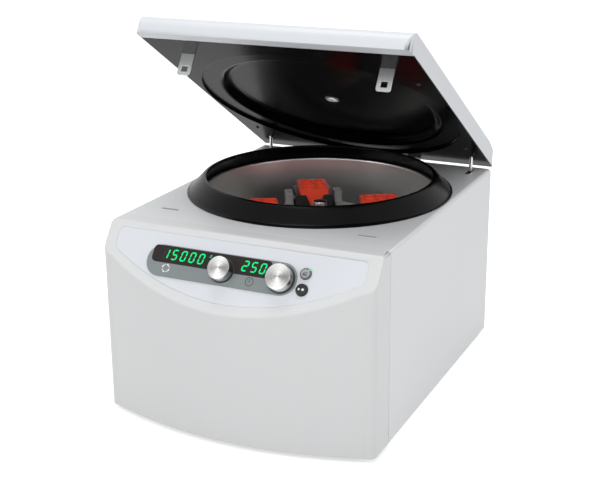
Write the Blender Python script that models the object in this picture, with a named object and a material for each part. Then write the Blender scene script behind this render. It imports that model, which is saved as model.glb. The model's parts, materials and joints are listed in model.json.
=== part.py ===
"""Benchtop laboratory centrifuge with a swing-out rotor, standing with its lid open.

World frame: X to the right of the operator, Y away from the operator, Z up, metres.
The origin is at the middle of the footprint, on the surface the feet stand on.
"""

from math import asin, atan2, cos, hypot, pi, radians, sin, tau

import bmesh
import bpy
from mathutils import Matrix, Vector

# Whole body
BODY_WIDTH = 0.430
HALF_WIDTH = BODY_WIDTH / 2
DEPTH_OVER_WIDTH = 0.034
COVER_DEPTH = BODY_WIDTH + DEPTH_OVER_WIDTH
COVER_HEIGHT = 0.287
FOOT_HEIGHT = 0.009
DECK_Z = FOOT_HEIGHT + COVER_HEIGHT
SHEET = 0.0015
FOLD_RADIUS = 0.006
GAP = 0.0003
OVERRUN = 0.006

# Front moulding
MOULD_WALL = 0.003
MOULD_CORNER_DEPTH = 0.055
MOULD_BOW = 0.037
BOW_END_MARGIN = 0.013
BOW_HALF_WIDTH = HALF_WIDTH - BOW_END_MARGIN
MOULD_CORNER_RADIUS = 0.012
MOULD_ROUNDING = 0.0022
TOP_STRIP_DEPTH = 0.0233
TONGUE_DEPTH = 0.008
TONGUE_THICKNESS = 0.002

# Slanted control panel, lengths measured across (u) and down the slope (v)
PANEL_TILT = radians(53.7)
RECESS_SIDE_MARGIN = 0.0055
RECESS_HALF_WIDTH = BOW_HALF_WIDTH - RECESS_SIDE_MARGIN
RECESS_TOP = 0.0098
RECESS_MARGIN = 0.015
RECESS_DEPTH = 0.0015
RECESS_TOP_RADIUS = 0.008
RECESS_BOTTOM_RADIUS = 0.014
OVERLAY_THICKNESS = 0.0008
BEZEL_LEFT = -0.1365
BEZEL_RIGHT = 0.100
BEZEL_TOP = 0.0285
BEZEL_BOTTOM = 0.075
BEZEL_THICKNESS = 0.0015
WINDOW_LEFT = -0.130
WINDOW_RIGHT = 0.060
WINDOW_TOP = 0.032
WINDOW_BOTTOM = 0.055
WINDOW_RADIUS = 0.008
WINDOW_POCKET = 0.001
SPEED_KNOB_U = -0.014
SPEED_KNOB_V = 0.0530
SPEED_KNOB_RADIUS = 0.0173
TIME_KNOB_U = 0.0775
TIME_KNOB_V = 0.0525
TIME_KNOB_RADIUS = 0.0193
KNOB_HEIGHT = 0.0145
KNOB_LIFT = 0.0019
KNOB_ROUNDING = 0.0015
KNOB_TAPER = 0.0008
KNOB_BORE = 0.0062
KNOB_BORE_DEPTH = 0.0105
KNOB_STEM_RADIUS = 0.0027
KNOB_STEM_REACH = 0.009
POINTER_WIDTH = 0.0016
POINTER_DEPTH = 0.0008
BUTTON_U = 0.1105
START_BUTTON_V = 0.0625
START_BUTTON_RADIUS = 0.0086
LID_BUTTON_V = 0.0395
LID_BUTTON_RADIUS = 0.0080
BUTTON_PROUD = 0.0028
BUTTON_CROWN = 0.0006
BUTTON_TRAVEL = 0.0015
BUTTON_FLANGE = 0.0014
BUTTON_FLANGE_THICKNESS = 0.0015
BUTTON_STEM_RADIUS = 0.0024
HOLE_EASE = 0.0004
BOARD_DEPTH = 0.0204
BOARD_THICKNESS = 0.0016
BOARD_LEFT = -0.150
BOARD_RIGHT = 0.132
BOARD_TOP = 0.026
BOARD_BOTTOM = 0.082
BOSS_RADIUS = 0.0032
BOSS_INSET = 0.006
ENCODER_SIDE = 0.014
ENCODER_BODY = 0.0095
ENCODER_BUSH_RADIUS = 0.0045
ENCODER_BUSH_TOP = 0.0035
ENCODER_BORE = 0.0031
ENCODER_BORE_DEPTH = 0.012

# Chassis
TRAY_HEIGHT = 0.022
TRAY_FRONT_INSET = 0.010
TRAY_SLOT_LENGTH = 0.060
TRAY_SLOT_WIDTH = 0.004
TRAY_SLOT_PITCH = 0.010
TRAY_SLOT_SETBACK = 0.010
TRAY_ROWS = 6
REAR_PANEL_INSET = 0.012
VENT_LENGTH = 0.052
VENT_WIDTH = 0.004
VENT_PITCH = 0.011
VENT_LOW = 0.110
VENT_OFFSET = 0.062
VENT_ROWS = 8
FOOT_RADIUS = 0.014
FOOT_TAPER = 0.002
FOOT_INSET_X = 0.045
FOOT_INSET_Y = 0.048
FOOT_DIMPLE_RADIUS = 0.005
FOOT_DIMPLE_DEPTH = 0.003

# Mains inlet and power switch on the rear panel
INLET_SIDE_INSET = 0.080
INLET_X = HALF_WIDTH - INLET_SIDE_INSET
INLET_Z = 0.052
INLET_WIDTH = 0.034
INLET_HEIGHT = 0.066
INLET_FLANGE = 0.003
INLET_FLANGE_THICKNESS = 0.002
INLET_BODY_DEPTH = 0.026
SOCKET_WIDTH = 0.0245
SOCKET_HEIGHT = 0.0165
SOCKET_DEPTH = 0.016
SOCKET_CHAMFER = 0.005
SOCKET_DROP = 0.016
PRONG_WIDTH = 0.002
PRONG_HEIGHT = 0.004
PRONG_LENGTH = 0.013
PRONG_SPACING = 0.007
PRONG_RISE = 0.002
SWITCH_RISE = 0.016
SWITCH_WIDTH = 0.014
SWITCH_HEIGHT = 0.022
SWITCH_WELL_DEPTH = 0.012
SWITCH_THICKNESS = 0.008
SWITCH_EASE = 0.0008
SWITCH_TILT = radians(7)

# Bowl, lip seal and armour ring
BOWL_BACK_SHIFT = 0.010
BOWL_SETBACK = COVER_DEPTH / 2 + BOWL_BACK_SHIFT
GUARD_SIDE_GAP = 0.022
GUARD_RADIUS = HALF_WIDTH - GUARD_SIDE_GAP
GUARD_THICKNESS = 0.003
BOWL_GUARD_GAP = 0.0075
BOWL_RADIUS = GUARD_RADIUS - GUARD_THICKNESS - BOWL_GUARD_GAP
BOWL_THICKNESS = 0.0012
BOWL_DEPTH = 0.150
BOWL_FLOOR_Z = DECK_Z - BOWL_DEPTH
BOWL_CORNER_RADIUS = 0.022
BOWL_RIM_WIDTH = 0.005
BOWL_RIM_RADIUS = BOWL_RADIUS + BOWL_RIM_WIDTH
BOWL_RIM_RISE = 0.0023
BOWL_SHAFT_HOLE = 0.027
DECK_HOLE_RADIUS = BOWL_RADIUS + BOWL_RIM_WIDTH / 2
SEAL_SPREAD = 0.0225
SEAL_BASE_RADIUS = BOWL_RIM_RADIUS + SEAL_SPREAD
SEAL_OVERHANG = 0.0015
SEAL_RIM_RADIUS = BOWL_RADIUS - SEAL_OVERHANG
SEAL_HEIGHT = 0.026
SEAL_RIM_EASE = 0.0005
SEAL_INNER_BASE = BOWL_RIM_RADIUS + SEAL_RIM_EASE
SEAL_GRIP_HEIGHT = 0.0028
SEAL_WALL = 0.0026
SEAL_TIP_RADIUS = 0.0022

# Motor
MOTOR_RADIUS = 0.060
MOTOR_FLANGE_RADIUS = 0.090
MOTOR_FLANGE_THICKNESS = 0.005
MOTOR_DROP = 0.034
MOTOR_TOP = BOWL_FLOOR_Z - MOTOR_DROP
MOTOR_BOSS_RADIUS = 0.023
MOTOR_BOSS_DROP = 0.015
MOTOR_BOSS_TOP = BOWL_FLOOR_Z - MOTOR_BOSS_DROP
MOTOR_ROUNDING = 0.004
MOTOR_BORE = 0.0074
MOTOR_BORE_FLOOR = 0.050
DAMPER_RADIUS = 0.011
DAMPER_WAIST = 0.0085
DAMPER_HEIGHT = 0.018
DAMPER_CIRCLE = 0.074
DAMPER_COUNT = 3
POWER_SIDE_INSET = 0.060
POWER_LENGTH = 0.125
POWER_LEFT = POWER_SIDE_INSET - HALF_WIDTH
POWER_RIGHT = POWER_LEFT + POWER_LENGTH
POWER_FRONT_INSET = 0.014
POWER_GUARD_GAP = 0.001
POWER_DEPTH = BOWL_SETBACK - GUARD_RADIUS - POWER_FRONT_INSET - POWER_GUARD_GAP
POWER_HEIGHT = 0.058
POWER_FIN_COUNT = 6
POWER_FIN_WIDTH = 0.008
POWER_FIN_DEPTH = 0.010

# Rotor, heights measured down from the deck
ROTOR_AZIMUTH = radians(31)
PLACES = 4
TRUNNION_RADIUS = 0.097
TRUNNION_DROP = 0.042
TRUNNION_PIN_RADIUS = 0.004
SPINDLE_RADIUS = 0.007
SPINDLE_TIP_RADIUS = 0.0055
SPINDLE_THREAD_RADIUS = 0.004
SPINDLE_FOOT = 0.056
HUB_RADIUS = 0.024
HUB_BOTTOM_DROP = 0.105
HUB_TOP_DROP = 0.034
HUB_FLARE_DROP = 0.060
HUB_WAIST = 0.018
NUT_RADIUS = 0.013
NUT_HEIGHT = 0.014
NUT_SKIRT = 0.004
WEB_TOP_DROP = 0.047
WEB_BOTTOM_DROP = 0.061
WEB_HALF_WIDTH = 0.014
FORK_INNER = 0.0345
FORK_OUTER = 0.047
FORK_BEYOND_PIN = 0.012
FORK_REACH = TRUNNION_RADIUS + FORK_BEYOND_PIN
THROAT_SETBACK = 0.015
FORK_THROAT = TRUNNION_RADIUS - THROAT_SETBACK
POST_START = TRUNNION_RADIUS - FORK_BEYOND_PIN
POST_TOP_DROP = 0.031
POST_GROOVES = 3
POST_GROOVE_WIDTH = 0.0016
POST_GROOVE_DEPTH = 0.0012
PIN_REACH = 0.0272
BUCKET_HALF_RADIAL = 0.0325
BUCKET_HALF_TANGENT = 0.031
BUCKET_BELOW_PIN = 0.070
BUCKET_ABOVE_PIN = 0.012
BUCKET_CORNER = 0.006
BUCKET_WALL_RADIAL = 0.0024
BUCKET_WALL_TANGENT = 0.007
BUCKET_FLOOR = 0.003
BUCKET_GROOVE_DEPTH = 0.0043
BUCKET_GROOVE_EASE = 0.0004
NOTCH_TOP_WIDTH = 0.030
NOTCH_BOTTOM_WIDTH = 0.006
NOTCH_DEPTH = 0.026
ADAPTER_ABOVE_PIN = 0.022
ADAPTER_CORNER = 0.004
TUBE_HOLE_RADIUS = 0.0084
TUBE_PITCH_RADIAL = 0.0185
TUBE_PITCH_TANGENT = 0.020
TUBE_ROWS = 3
TUBE_COLUMNS = 2
TUBE_FLOOR = 0.008

# Lid, lengths measured from its rear lower edge towards the front (s) and into the lid (n)
LID_OPEN = radians(32.2)
HINGE_BEHIND = 0.0012
HINGE_DROP = 0.0085
LID_EDGE_BEHIND = 0.0028
LID_RISE = 0.004
LID_FRONT_OVERHANG = 0.026
LID_LENGTH = COVER_DEPTH + LID_FRONT_OVERHANG
LID_SIDE_INSET = 0.001
LID_HALF_WIDTH = HALF_WIDTH - LID_SIDE_INSET
LID_THICKNESS = 0.031
LID_WALL = 0.0025
LID_REAR_LEAN = 0.0133
LID_REAR_RISE = 0.0266
LID_REAR_SHOULDER = 0.040
LID_NOSE_SETBACK = 0.019
LID_NOSE_DROP = 0.021
LID_CORNER_RADIUS = 0.009
LID_ROUNDING = 0.002
LIP_DEPTH = 0.020
LINER_THICKNESS = 0.0018
LINER_CENTRE_S = COVER_DEPTH - BOWL_SETBACK + LID_EDGE_BEHIND
LINER_SIDE_MARGIN = 0.004
LINER_STEP_OUTER = LID_HALF_WIDTH - LINER_SIDE_MARGIN
LINER_STEP_SLOPE = 0.0025
LINER_STEP_INNER = LINER_STEP_OUTER - LINER_STEP_SLOPE
LINER_STEP_DEPTH = 0.0045
LINER_LEDGE_WIDTH = 0.0305
LINER_LEDGE_INNER = LINER_STEP_INNER - LINER_LEDGE_WIDTH
LINER_CONE_WIDTH = 0.010
LINER_FLOOR_RADIUS = LINER_LEDGE_INNER - LINER_CONE_WIDTH
LINER_FLOOR_DEPTH = 0.0165
PEEP_RADIUS = 0.0085
PEEP_FLANGE_RADIUS = 0.0115
PEEP_FLANGE_THICKNESS = 0.0015
PEEP_RECESS = 0.0006
STRAP_SIDE_INSET = 0.054
STRAP_X = LID_HALF_WIDTH - STRAP_SIDE_INSET
STRAP_FRONT_INSET = 0.073
STRAP_S = LID_LENGTH - STRAP_FRONT_INSET
STRAP_WIDTH = 0.0225
STRAP_THICKNESS = 0.002
STRAP_DROP = 0.0345
STRAP_TIP_RADIUS = 0.004
STRAP_HOLE_WIDTH = 0.010
STRAP_HOLE_HEIGHT = 0.009
STRAP_HOLE_DROP = 0.024
STRAP_FOOT_LENGTH = 0.014
LATCH_SLOT_LENGTH = 0.030
LATCH_SLOT_WIDTH = 0.0055
LATCH_HALF_WIDTH = 0.020
LATCH_HALF_DEPTH = 0.012
LATCH_HEIGHT = 0.048
LATCH_WELL_DEPTH = 0.038

# Hinges
HINGE_X = 0.077
KNUCKLE_RADIUS = 0.005
KNUCKLE_WIDTH = 0.024
HINGE_PIN_RADIUS = 0.0022
HINGE_PIN_EASE = 0.0003
LEAF_NEAR_S = 0.0056
LEAF_FAR_S = 0.0081
LEAF_FLANGE_END = 0.022
LEAF_FLANGE_BOTTOM = 0.0021
LEAF_FLANGE_TOP = 0.0046
EAR_WIDTH = 0.006
EAR_GAP = 0.0006
HINGE_PLATE_THICKNESS = 0.0025
HINGE_PLATE_HALF_WIDTH = 0.026
HINGE_PLATE_TOP_DROP = 0.016
HINGE_PLATE_BOTTOM_DROP = 0.048
HINGE_NOTCH_WIDTH = 0.030
HINGE_NOTCH_DEPTH = 0.009

# Gas struts
STRUT_SIDE_INSET = 0.0275
STRUT_X = LID_HALF_WIDTH - STRUT_SIDE_INSET
STRUT_S = 0.040
STRUT_N = 0.012
STRUT_FOOT_AHEAD = 0.050
STRUT_FOOT_RISE = 0.038
STRUT_PIN_RADIUS = 0.003
STRUT_EYE_RADIUS = 0.0075
STRUT_EYE_WIDTH = 0.006
STRUT_TOP_CLEARANCE = 0.0014
STRUT_BARREL_RADIUS = 0.0085
STRUT_BARREL_START = 0.016
STRUT_BARREL_END = 0.150
STRUT_BORE = 0.0033
STRUT_BORE_DEPTH = 0.100
STRUT_ROD_RADIUS = 0.003
STRUT_ROD_INSERT = 0.060
STRUT_BRACKET_THICKNESS = 0.003
STRUT_BRACKET_HALF = 0.010
STRUT_SLOT_WIDTH = 0.010
STRUT_SLOT_NEAR = 0.014
STRUT_SLOT_FAR = 0.046
LINER_STRUT_SLOT_REAR = 0.0290
LINER_STRUT_SLOT_FRONT = 0.0460

# Facets round a full turn, and along rounded corners and curves
BIG_ROUND = 60
ROUND = 28
KNOB_ROUND = 36
SMALL_ROUND = 16
EYE_ROUND = 20
PLUG_ROUND = 24
BOSS_ROUND = 32
CORNER_STEPS = 5
SECTION_STEPS = 3
BOW_STEPS = 28
BEVEL_SEGMENTS = 2
SLOT_END_SHARE = 0.9
SLOT_CORNER_SHARE = 1 / 3
EYE_NECK_SHARE = 2 / 3
KNOB_HUB_SHARE = 3
POINTER_INNER_SHARE = 1 / 3
CROWN_SHARE = 3 / 4
WAIST_SHARE = 1 / 3
NOSE_SETBACK_SHARE = 1 / 5
NOSE_DROP_SHARE = 2 / 3
EAR_TOE_SHARE = 1 / 4
BEVEL_LIMIT = radians(30)
SMOOTH_LIMIT = radians(32)

# Positions that follow from the sizes above
FRONT_REACH = MOULD_CORNER_DEPTH + MOULD_BOW
LID_EDGE_Y = LID_EDGE_BEHIND - HINGE_BEHIND
LID_EDGE_Z = LID_RISE + HINGE_DROP


def open_offset(y, z):
    """Where a point of the closed lid, measured from the hinge line, goes when the lid is open."""
    across = y * cos(LID_OPEN) + z * sin(LID_OPEN)
    upward = z * cos(LID_OPEN) - y * sin(LID_OPEN)
    return across, upward


LID_TAIL = open_offset(LID_EDGE_Y - LID_REAR_LEAN, LID_EDGE_Z + LID_REAR_RISE)[0]
REAR_REACH = COVER_DEPTH + HINGE_BEHIND + LID_TAIL
SEAM_Y = (FRONT_REACH - REAR_REACH) / 2
REAR_Y = SEAM_Y + COVER_DEPTH
AXIS_Y = SEAM_Y + BOWL_SETBACK
HINGE_Y = REAR_Y + HINGE_BEHIND
HINGE_Z = DECK_Z - HINGE_DROP
PANEL_TOP_Y = SEAM_Y - TOP_STRIP_DEPTH
TRAY_HALF = HALF_WIDTH - SHEET - GAP
TRAY_BOTTOM = FOOT_HEIGHT + GAP
TRAY_FLOOR = TRAY_BOTTOM + SHEET
REAR_PANEL_FRONT = REAR_Y - REAR_PANEL_INSET
REAR_PANEL_BACK = REAR_PANEL_FRONT + SHEET
TRUNNION_Z = DECK_Z - TRUNNION_DROP

FINISHES = {
    "light_moulding": ((0.80, 0.80, 0.79), 0.42, 0.0),
    "cover_paint": ((0.70, 0.72, 0.74), 0.40, 0.0),
    "lid_moulding": ((0.74, 0.76, 0.78), 0.40, 0.0),
    "panel_film": ((0.78, 0.82, 0.86), 0.35, 0.0),
    "bezel_grey": ((0.28, 0.30, 0.29), 0.45, 0.0),
    "display_black": ((0.01, 0.01, 0.012), 0.12, 0.0),
    "black_gloss": ((0.012, 0.012, 0.014), 0.08, 0.0),
    "black_plastic": ((0.02, 0.02, 0.022), 0.40, 0.0),
    "black_rubber": ((0.018, 0.018, 0.018), 0.70, 0.0),
    "brushed_steel": ((0.62, 0.62, 0.61), 0.30, 1.0),
    "zinc_steel": ((0.55, 0.56, 0.57), 0.40, 1.0),
    "bright_rod": ((0.75, 0.75, 0.75), 0.15, 1.0),
    "cast_grey": ((0.32, 0.33, 0.34), 0.50, 0.6),
    "spun_aluminium": ((0.72, 0.72, 0.73), 0.28, 1.0),
    "adapter_red": ((0.75, 0.06, 0.015), 0.45, 0.0),
    "clear_plastic": ((0.85, 0.90, 0.92), 0.05, 0.0),
    "button_grey": ((0.33, 0.35, 0.36), 0.45, 0.0),
    "board_green": ((0.03, 0.16, 0.06), 0.50, 0.0),
}


# Scene and material helpers


def clear_scene():
    """Removes what Blender starts with."""
    for old in list(bpy.data.objects):
        bpy.data.objects.remove(old, do_unlink=True)


def finish_for(name, finish):
    """A Principled material of this sub-part's own."""
    colour, roughness, metallic = FINISHES[finish]
    made = bpy.data.materials.new(f"{name}_{finish}")
    made.use_nodes = True
    shader = made.node_tree.nodes["Principled BSDF"]
    shader.inputs["Base Color"].default_value = (*colour, 1)
    shader.inputs["Roughness"].default_value = roughness
    shader.inputs["Metallic"].default_value = metallic
    return made


def empty(name, location, tilt=0.0, turn=0.0, parent=None):
    """A frame that carries pieces: tilted about X, or turned about Z."""
    frame = bpy.data.objects.new(name, None)
    frame.location = location
    frame.rotation_euler = (tilt, 0, turn)
    frame.parent = parent
    bpy.context.scene.collection.objects.link(frame)
    return frame


def to_object(name, shape, parent, location):
    """An object that holds this shape."""
    bmesh.ops.recalc_face_normals(shape, faces=shape.faces)
    mesh = bpy.data.meshes.new(name)
    shape.to_mesh(mesh)
    shape.free()
    made = bpy.data.objects.new(name, mesh)
    made.location = location
    made.parent = parent
    bpy.context.scene.collection.objects.link(made)
    return made


def piece(name, finish, shape, parent=None, location=(0, 0, 0)):
    """A sub-part that is shown."""
    made = to_object(name, shape, parent, location)
    made.data.materials.append(finish_for(name, finish))
    made.data.shade_smooth()
    made.data.set_sharp_from_angle(angle=SMOOTH_LIMIT)
    return made


def helper(shape, parent=None, location=(0, 0, 0)):
    """A solid that only cuts or joins."""
    made = to_object("helper", shape, parent, location)
    made.hide_render = True
    made.display_type = "WIRE"
    return made


def combine(target, operation, shape, parent=None, location=None):
    """Cuts, joins or keeps what is common, with the target's own frame unless told otherwise."""
    parent = parent or target.parent
    place = target.location if location is None else location
    other = helper(shape, parent, place)
    step = target.modifiers.new(operation.lower(), "BOOLEAN")
    step.operation = operation
    step.solver = "EXACT"
    step.object = other
    return other


def cut(target, shape, parent=None, location=None):
    """Cuts the shape out of the target."""
    return combine(target, "DIFFERENCE", shape, parent, location)


def join(target, shape, parent=None, location=None):
    """Joins the shape to the target."""
    return combine(target, "UNION", shape, parent, location)


def keep_common(target, shape):
    """Keeps only what lies inside the shape as well."""
    return combine(target, "INTERSECT", shape)


def round_edges(target, width, segments=BEVEL_SEGMENTS):
    """Rounds every edge sharper than the bevel limit."""
    step = target.modifiers.new("rounding", "BEVEL")
    step.width = width
    step.segments = segments
    step.limit_method = "ANGLE"
    step.angle_limit = BEVEL_LIMIT
    step.use_clamp_overlap = True


# Outlines, as lists of points in a plane


def arc(centre, radius, start, end, steps):
    """Points along an arc, both ends included."""
    found = []
    for step in range(steps + 1):
        angle = start + (end - start) * step / steps
        found.append((centre[0] + radius * cos(angle), centre[1] + radius * sin(angle)))
    return found


def circle(radius, steps, centre=(0, 0)):
    """A full circle."""
    return arc(centre, radius, 0, tau, steps)[:-1]


def rounded(corners, steps=CORNER_STEPS):
    """An outline whose corners, given as (x, y, radius), are rounded."""
    found = []
    count = len(corners)
    for index, (x, y, radius) in enumerate(corners):
        here = Vector((x, y))
        if radius == 0:
            found.append((x, y))
            continue
        back = (Vector(corners[index - 1][:2]) - here).normalized()
        ahead = (Vector(corners[(index + 1) % count][:2]) - here).normalized()
        half = back.angle(ahead) / 2
        run = radius / (sin(half) / cos(half))
        middle = here + (back + ahead).normalized() * (radius / sin(half))
        first = here + back * run - middle
        last = here + ahead * run - middle
        start = atan2(first.y, first.x)
        sweep = atan2(last.y, last.x) - start
        sweep = (sweep + pi) % tau - pi
        found += arc(middle, radius, start, start + sweep, steps)
    return found


def rectangle(left, right, low, high, radius=0.0, steps=CORNER_STEPS):
    """A rectangle, with rounded corners where a radius is given."""
    return rounded(
        [(left, low, radius), (right, low, radius), (right, high, radius), (left, high, radius)],
        steps,
    )


# Solids, as bmeshes


def prism(outline, low, high, axes="xyz"):
    """The outline drawn in the first two axes and extruded along the third."""
    order = ["xyz".index(axis) for axis in axes]
    shape = bmesh.new()
    loops = []
    for level in (low, high):
        loop = []
        for point in outline:
            place = [0.0, 0.0, 0.0]
            place[order[0]] = point[0]
            place[order[1]] = point[1]
            place[order[2]] = level
            loop.append(shape.verts.new(place))
        loops.append(loop)
    bottom, top = loops
    shape.faces.new(bottom)
    shape.faces.new(top)
    for index, vert in enumerate(bottom):
        shape.faces.new((bottom[index - 1], vert, top[index], top[index - 1]))
    return shape


def box(x, y, z):
    """A box from its three (low, high) pairs."""
    return prism(rectangle(x[0], x[1], y[0], y[1]), z[0], z[1])


def lathe(profile, steps):
    """The closed (radius, height) profile turned about Z."""
    shape = bmesh.new()
    rings = []
    for radius, height in profile:
        if radius == 0:
            rings.append([shape.verts.new((0, 0, height))] * steps)
            continue
        rings.append([shape.verts.new((x, y, height)) for x, y in circle(radius, steps)])
    for index, ring in enumerate(rings):
        before = rings[index - 1]
        for step in range(steps):
            corners = [before[step - 1], before[step], ring[step], ring[step - 1]]
            corners = list(dict.fromkeys(corners))
            if len(corners) > 2:
                shape.faces.new(corners)
    return shape


def cylinder(radius, low, high, steps=ROUND):
    """An upright cylinder."""
    return prism(circle(radius, steps), low, high)


def moved(shape, matrix):
    """The same shape after a move."""
    bmesh.ops.transform(shape, matrix=matrix, verts=shape.verts)
    return shape


def shifted(shape, x=0.0, y=0.0, z=0.0):
    """The same shape shifted."""
    return moved(shape, Matrix.Translation((x, y, z)))


def merged(shapes):
    """Several separate solids as one cutter."""
    whole = bmesh.new()
    for shape in shapes:
        mesh = bpy.data.meshes.new("merged")
        shape.to_mesh(mesh)
        shape.free()
        whole.from_mesh(mesh)
        bpy.data.meshes.remove(mesh)
    return whole


# Sheet cover over the deck and both sides


def cover_profile(half, top, radius):
    """The folded cover's outer line across the body."""
    return rounded(
        [(-half, FOOT_HEIGHT, 0), (half, FOOT_HEIGHT, 0), (half, top, radius), (-half, top, radius)]
    )


def deck_cutter(outline):
    """A cutter through the deck sheet only."""
    return prism(outline, DECK_Z - SHEET - OVERRUN, DECK_Z + OVERRUN)


def make_cover():
    """Deck and sides folded from one sheet, with the openings in the deck."""
    outer = prism(cover_profile(HALF_WIDTH, DECK_Z, FOLD_RADIUS), SEAM_Y, REAR_Y, "xzy")
    cover = piece("folded_cover", "cover_paint", outer)
    inner = rounded(
        [
            (SHEET - HALF_WIDTH, FOOT_HEIGHT - OVERRUN, 0),
            (HALF_WIDTH - SHEET, FOOT_HEIGHT - OVERRUN, 0),
            (HALF_WIDTH - SHEET, DECK_Z - SHEET, FOLD_RADIUS - SHEET),
            (SHEET - HALF_WIDTH, DECK_Z - SHEET, FOLD_RADIUS - SHEET),
        ]
    )
    cut(cover, prism(inner, SEAM_Y - OVERRUN, REAR_Y + OVERRUN, "xzy"))
    hole = circle(DECK_HOLE_RADIUS, BIG_ROUND, (0, AXIS_Y))
    cut(cover, deck_cutter(hole))
    openings = []
    latch_y = latch_line()
    for side in (-1, 1):
        half = LATCH_SLOT_LENGTH / 2
        centre = side * STRAP_X
        openings.append(
            deck_cutter(
                rectangle(
                    centre - half,
                    centre + half,
                    latch_y - LATCH_SLOT_WIDTH / 2,
                    latch_y + LATCH_SLOT_WIDTH / 2,
                    LATCH_SLOT_WIDTH * SLOT_CORNER_SHARE,
                )
            )
        )
        half = STRUT_SLOT_WIDTH / 2
        centre = side * STRUT_X
        openings.append(
            deck_cutter(
                rectangle(
                    centre - half,
                    centre + half,
                    REAR_Y - STRUT_SLOT_FAR,
                    REAR_Y - STRUT_SLOT_NEAR,
                    half * SLOT_END_SHARE,
                )
            )
        )
        half = HINGE_NOTCH_WIDTH / 2
        centre = side * HINGE_X
        openings.append(
            deck_cutter(
                rectangle(centre - half, centre + half, REAR_Y - HINGE_NOTCH_DEPTH, REAR_Y + OVERRUN)
            )
        )
    cut(cover, merged(openings))
    return cover


# Bowed front moulding with its slanted panel


def bow_outline(inset, back):
    """Plan outline of the moulding: bowed front, flat pillars and rounded corners."""
    half = HALF_WIDTH - inset
    corner = SEAM_Y - MOULD_CORNER_DEPTH + inset
    radius = MOULD_CORNER_RADIUS - inset
    found = [(half, back), (-half, back)]
    found += arc((-half + radius, corner + radius), radius, pi, 3 * pi / 2, CORNER_STEPS)
    for step in range(BOW_STEPS + 1):
        x = BOW_HALF_WIDTH * (2 * step / BOW_STEPS - 1)
        found.append((x, corner - MOULD_BOW * (1 - (x / BOW_HALF_WIDTH) ** 2)))
    found += arc((half - radius, corner + radius), radius, -pi / 2, 0, CORNER_STEPS)
    return found


def slanted_prism(inset, back, bottom):
    """The plan outline raised to the deck and cut off along the slanted panel."""
    shape = prism(bow_outline(inset, back), bottom, DECK_Z - inset)
    normal = Vector((0, -sin(PANEL_TILT), cos(PANEL_TILT)))
    edge = Vector((0, PANEL_TOP_Y, DECK_Z)) - normal * inset
    everything = list(shape.verts) + list(shape.edges) + list(shape.faces)
    made = bmesh.ops.bisect_plane(
        shape, geom=everything, plane_co=edge, plane_no=normal, clear_outer=True
    )
    rim = [part for part in made["geom_cut"] if isinstance(part, bmesh.types.BMEdge)]
    bmesh.ops.contextual_create(shape, geom=rim)
    return shape


def smile(u):
    """How far down the slope the slanted panel ends, this far from the middle."""
    reach = MOULD_CORNER_DEPTH + MOULD_BOW * (1 - (u / BOW_HALF_WIDTH) ** 2)
    return (reach - TOP_STRIP_DEPTH) / cos(PANEL_TILT)


def crescent(shrink=0.0):
    """Outline of the recess on the panel, in (u, height up the slope)."""
    half = RECESS_HALF_WIDTH - shrink
    bottom = []
    for step in range(1, BOW_STEPS):
        u = half * (2 * step / BOW_STEPS - 1)
        bottom.append((u, RECESS_MARGIN + shrink - smile(u), 0))
    low = RECESS_MARGIN + shrink - smile(half)
    ends = RECESS_BOTTOM_RADIUS - shrink
    top = RECESS_TOP_RADIUS - shrink
    bottom = [point for point in bottom if abs(point[0]) < half - ends]
    corners = [(-half, -RECESS_TOP - shrink, top), (-half, low, ends)]
    corners += bottom
    corners += [(half, low, ends), (half, -RECESS_TOP - shrink, top)]
    return rounded(corners)


def panel_hole(u, v, radius):
    """A cutter through everything in front of the boards."""
    return shifted(cylinder(radius, -BOARD_DEPTH / 2, BOARD_DEPTH, BOSS_ROUND), u, -v)


def control_holes(for_bezel=False):
    """Cutters for the two knob bushes and, but for the bezel, the two buttons."""
    bush = ENCODER_BUSH_RADIUS + HOLE_EASE
    holes = [
        panel_hole(SPEED_KNOB_U, SPEED_KNOB_V, bush),
        panel_hole(TIME_KNOB_U, TIME_KNOB_V, bush),
    ]
    if not for_bezel:
        holes.append(panel_hole(BUTTON_U, START_BUTTON_V, START_BUTTON_RADIUS + HOLE_EASE))
        holes.append(panel_hole(BUTTON_U, LID_BUTTON_V, LID_BUTTON_RADIUS + HOLE_EASE))
    return merged(holes)


def board_corners():
    """Where the board's four fixing bosses stand."""
    for u in (BOARD_LEFT + BOSS_INSET, BOARD_RIGHT - BOSS_INSET):
        for v in (BOARD_TOP + BOSS_INSET, BOARD_BOTTOM - BOSS_INSET):
            yield u, -v


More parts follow.
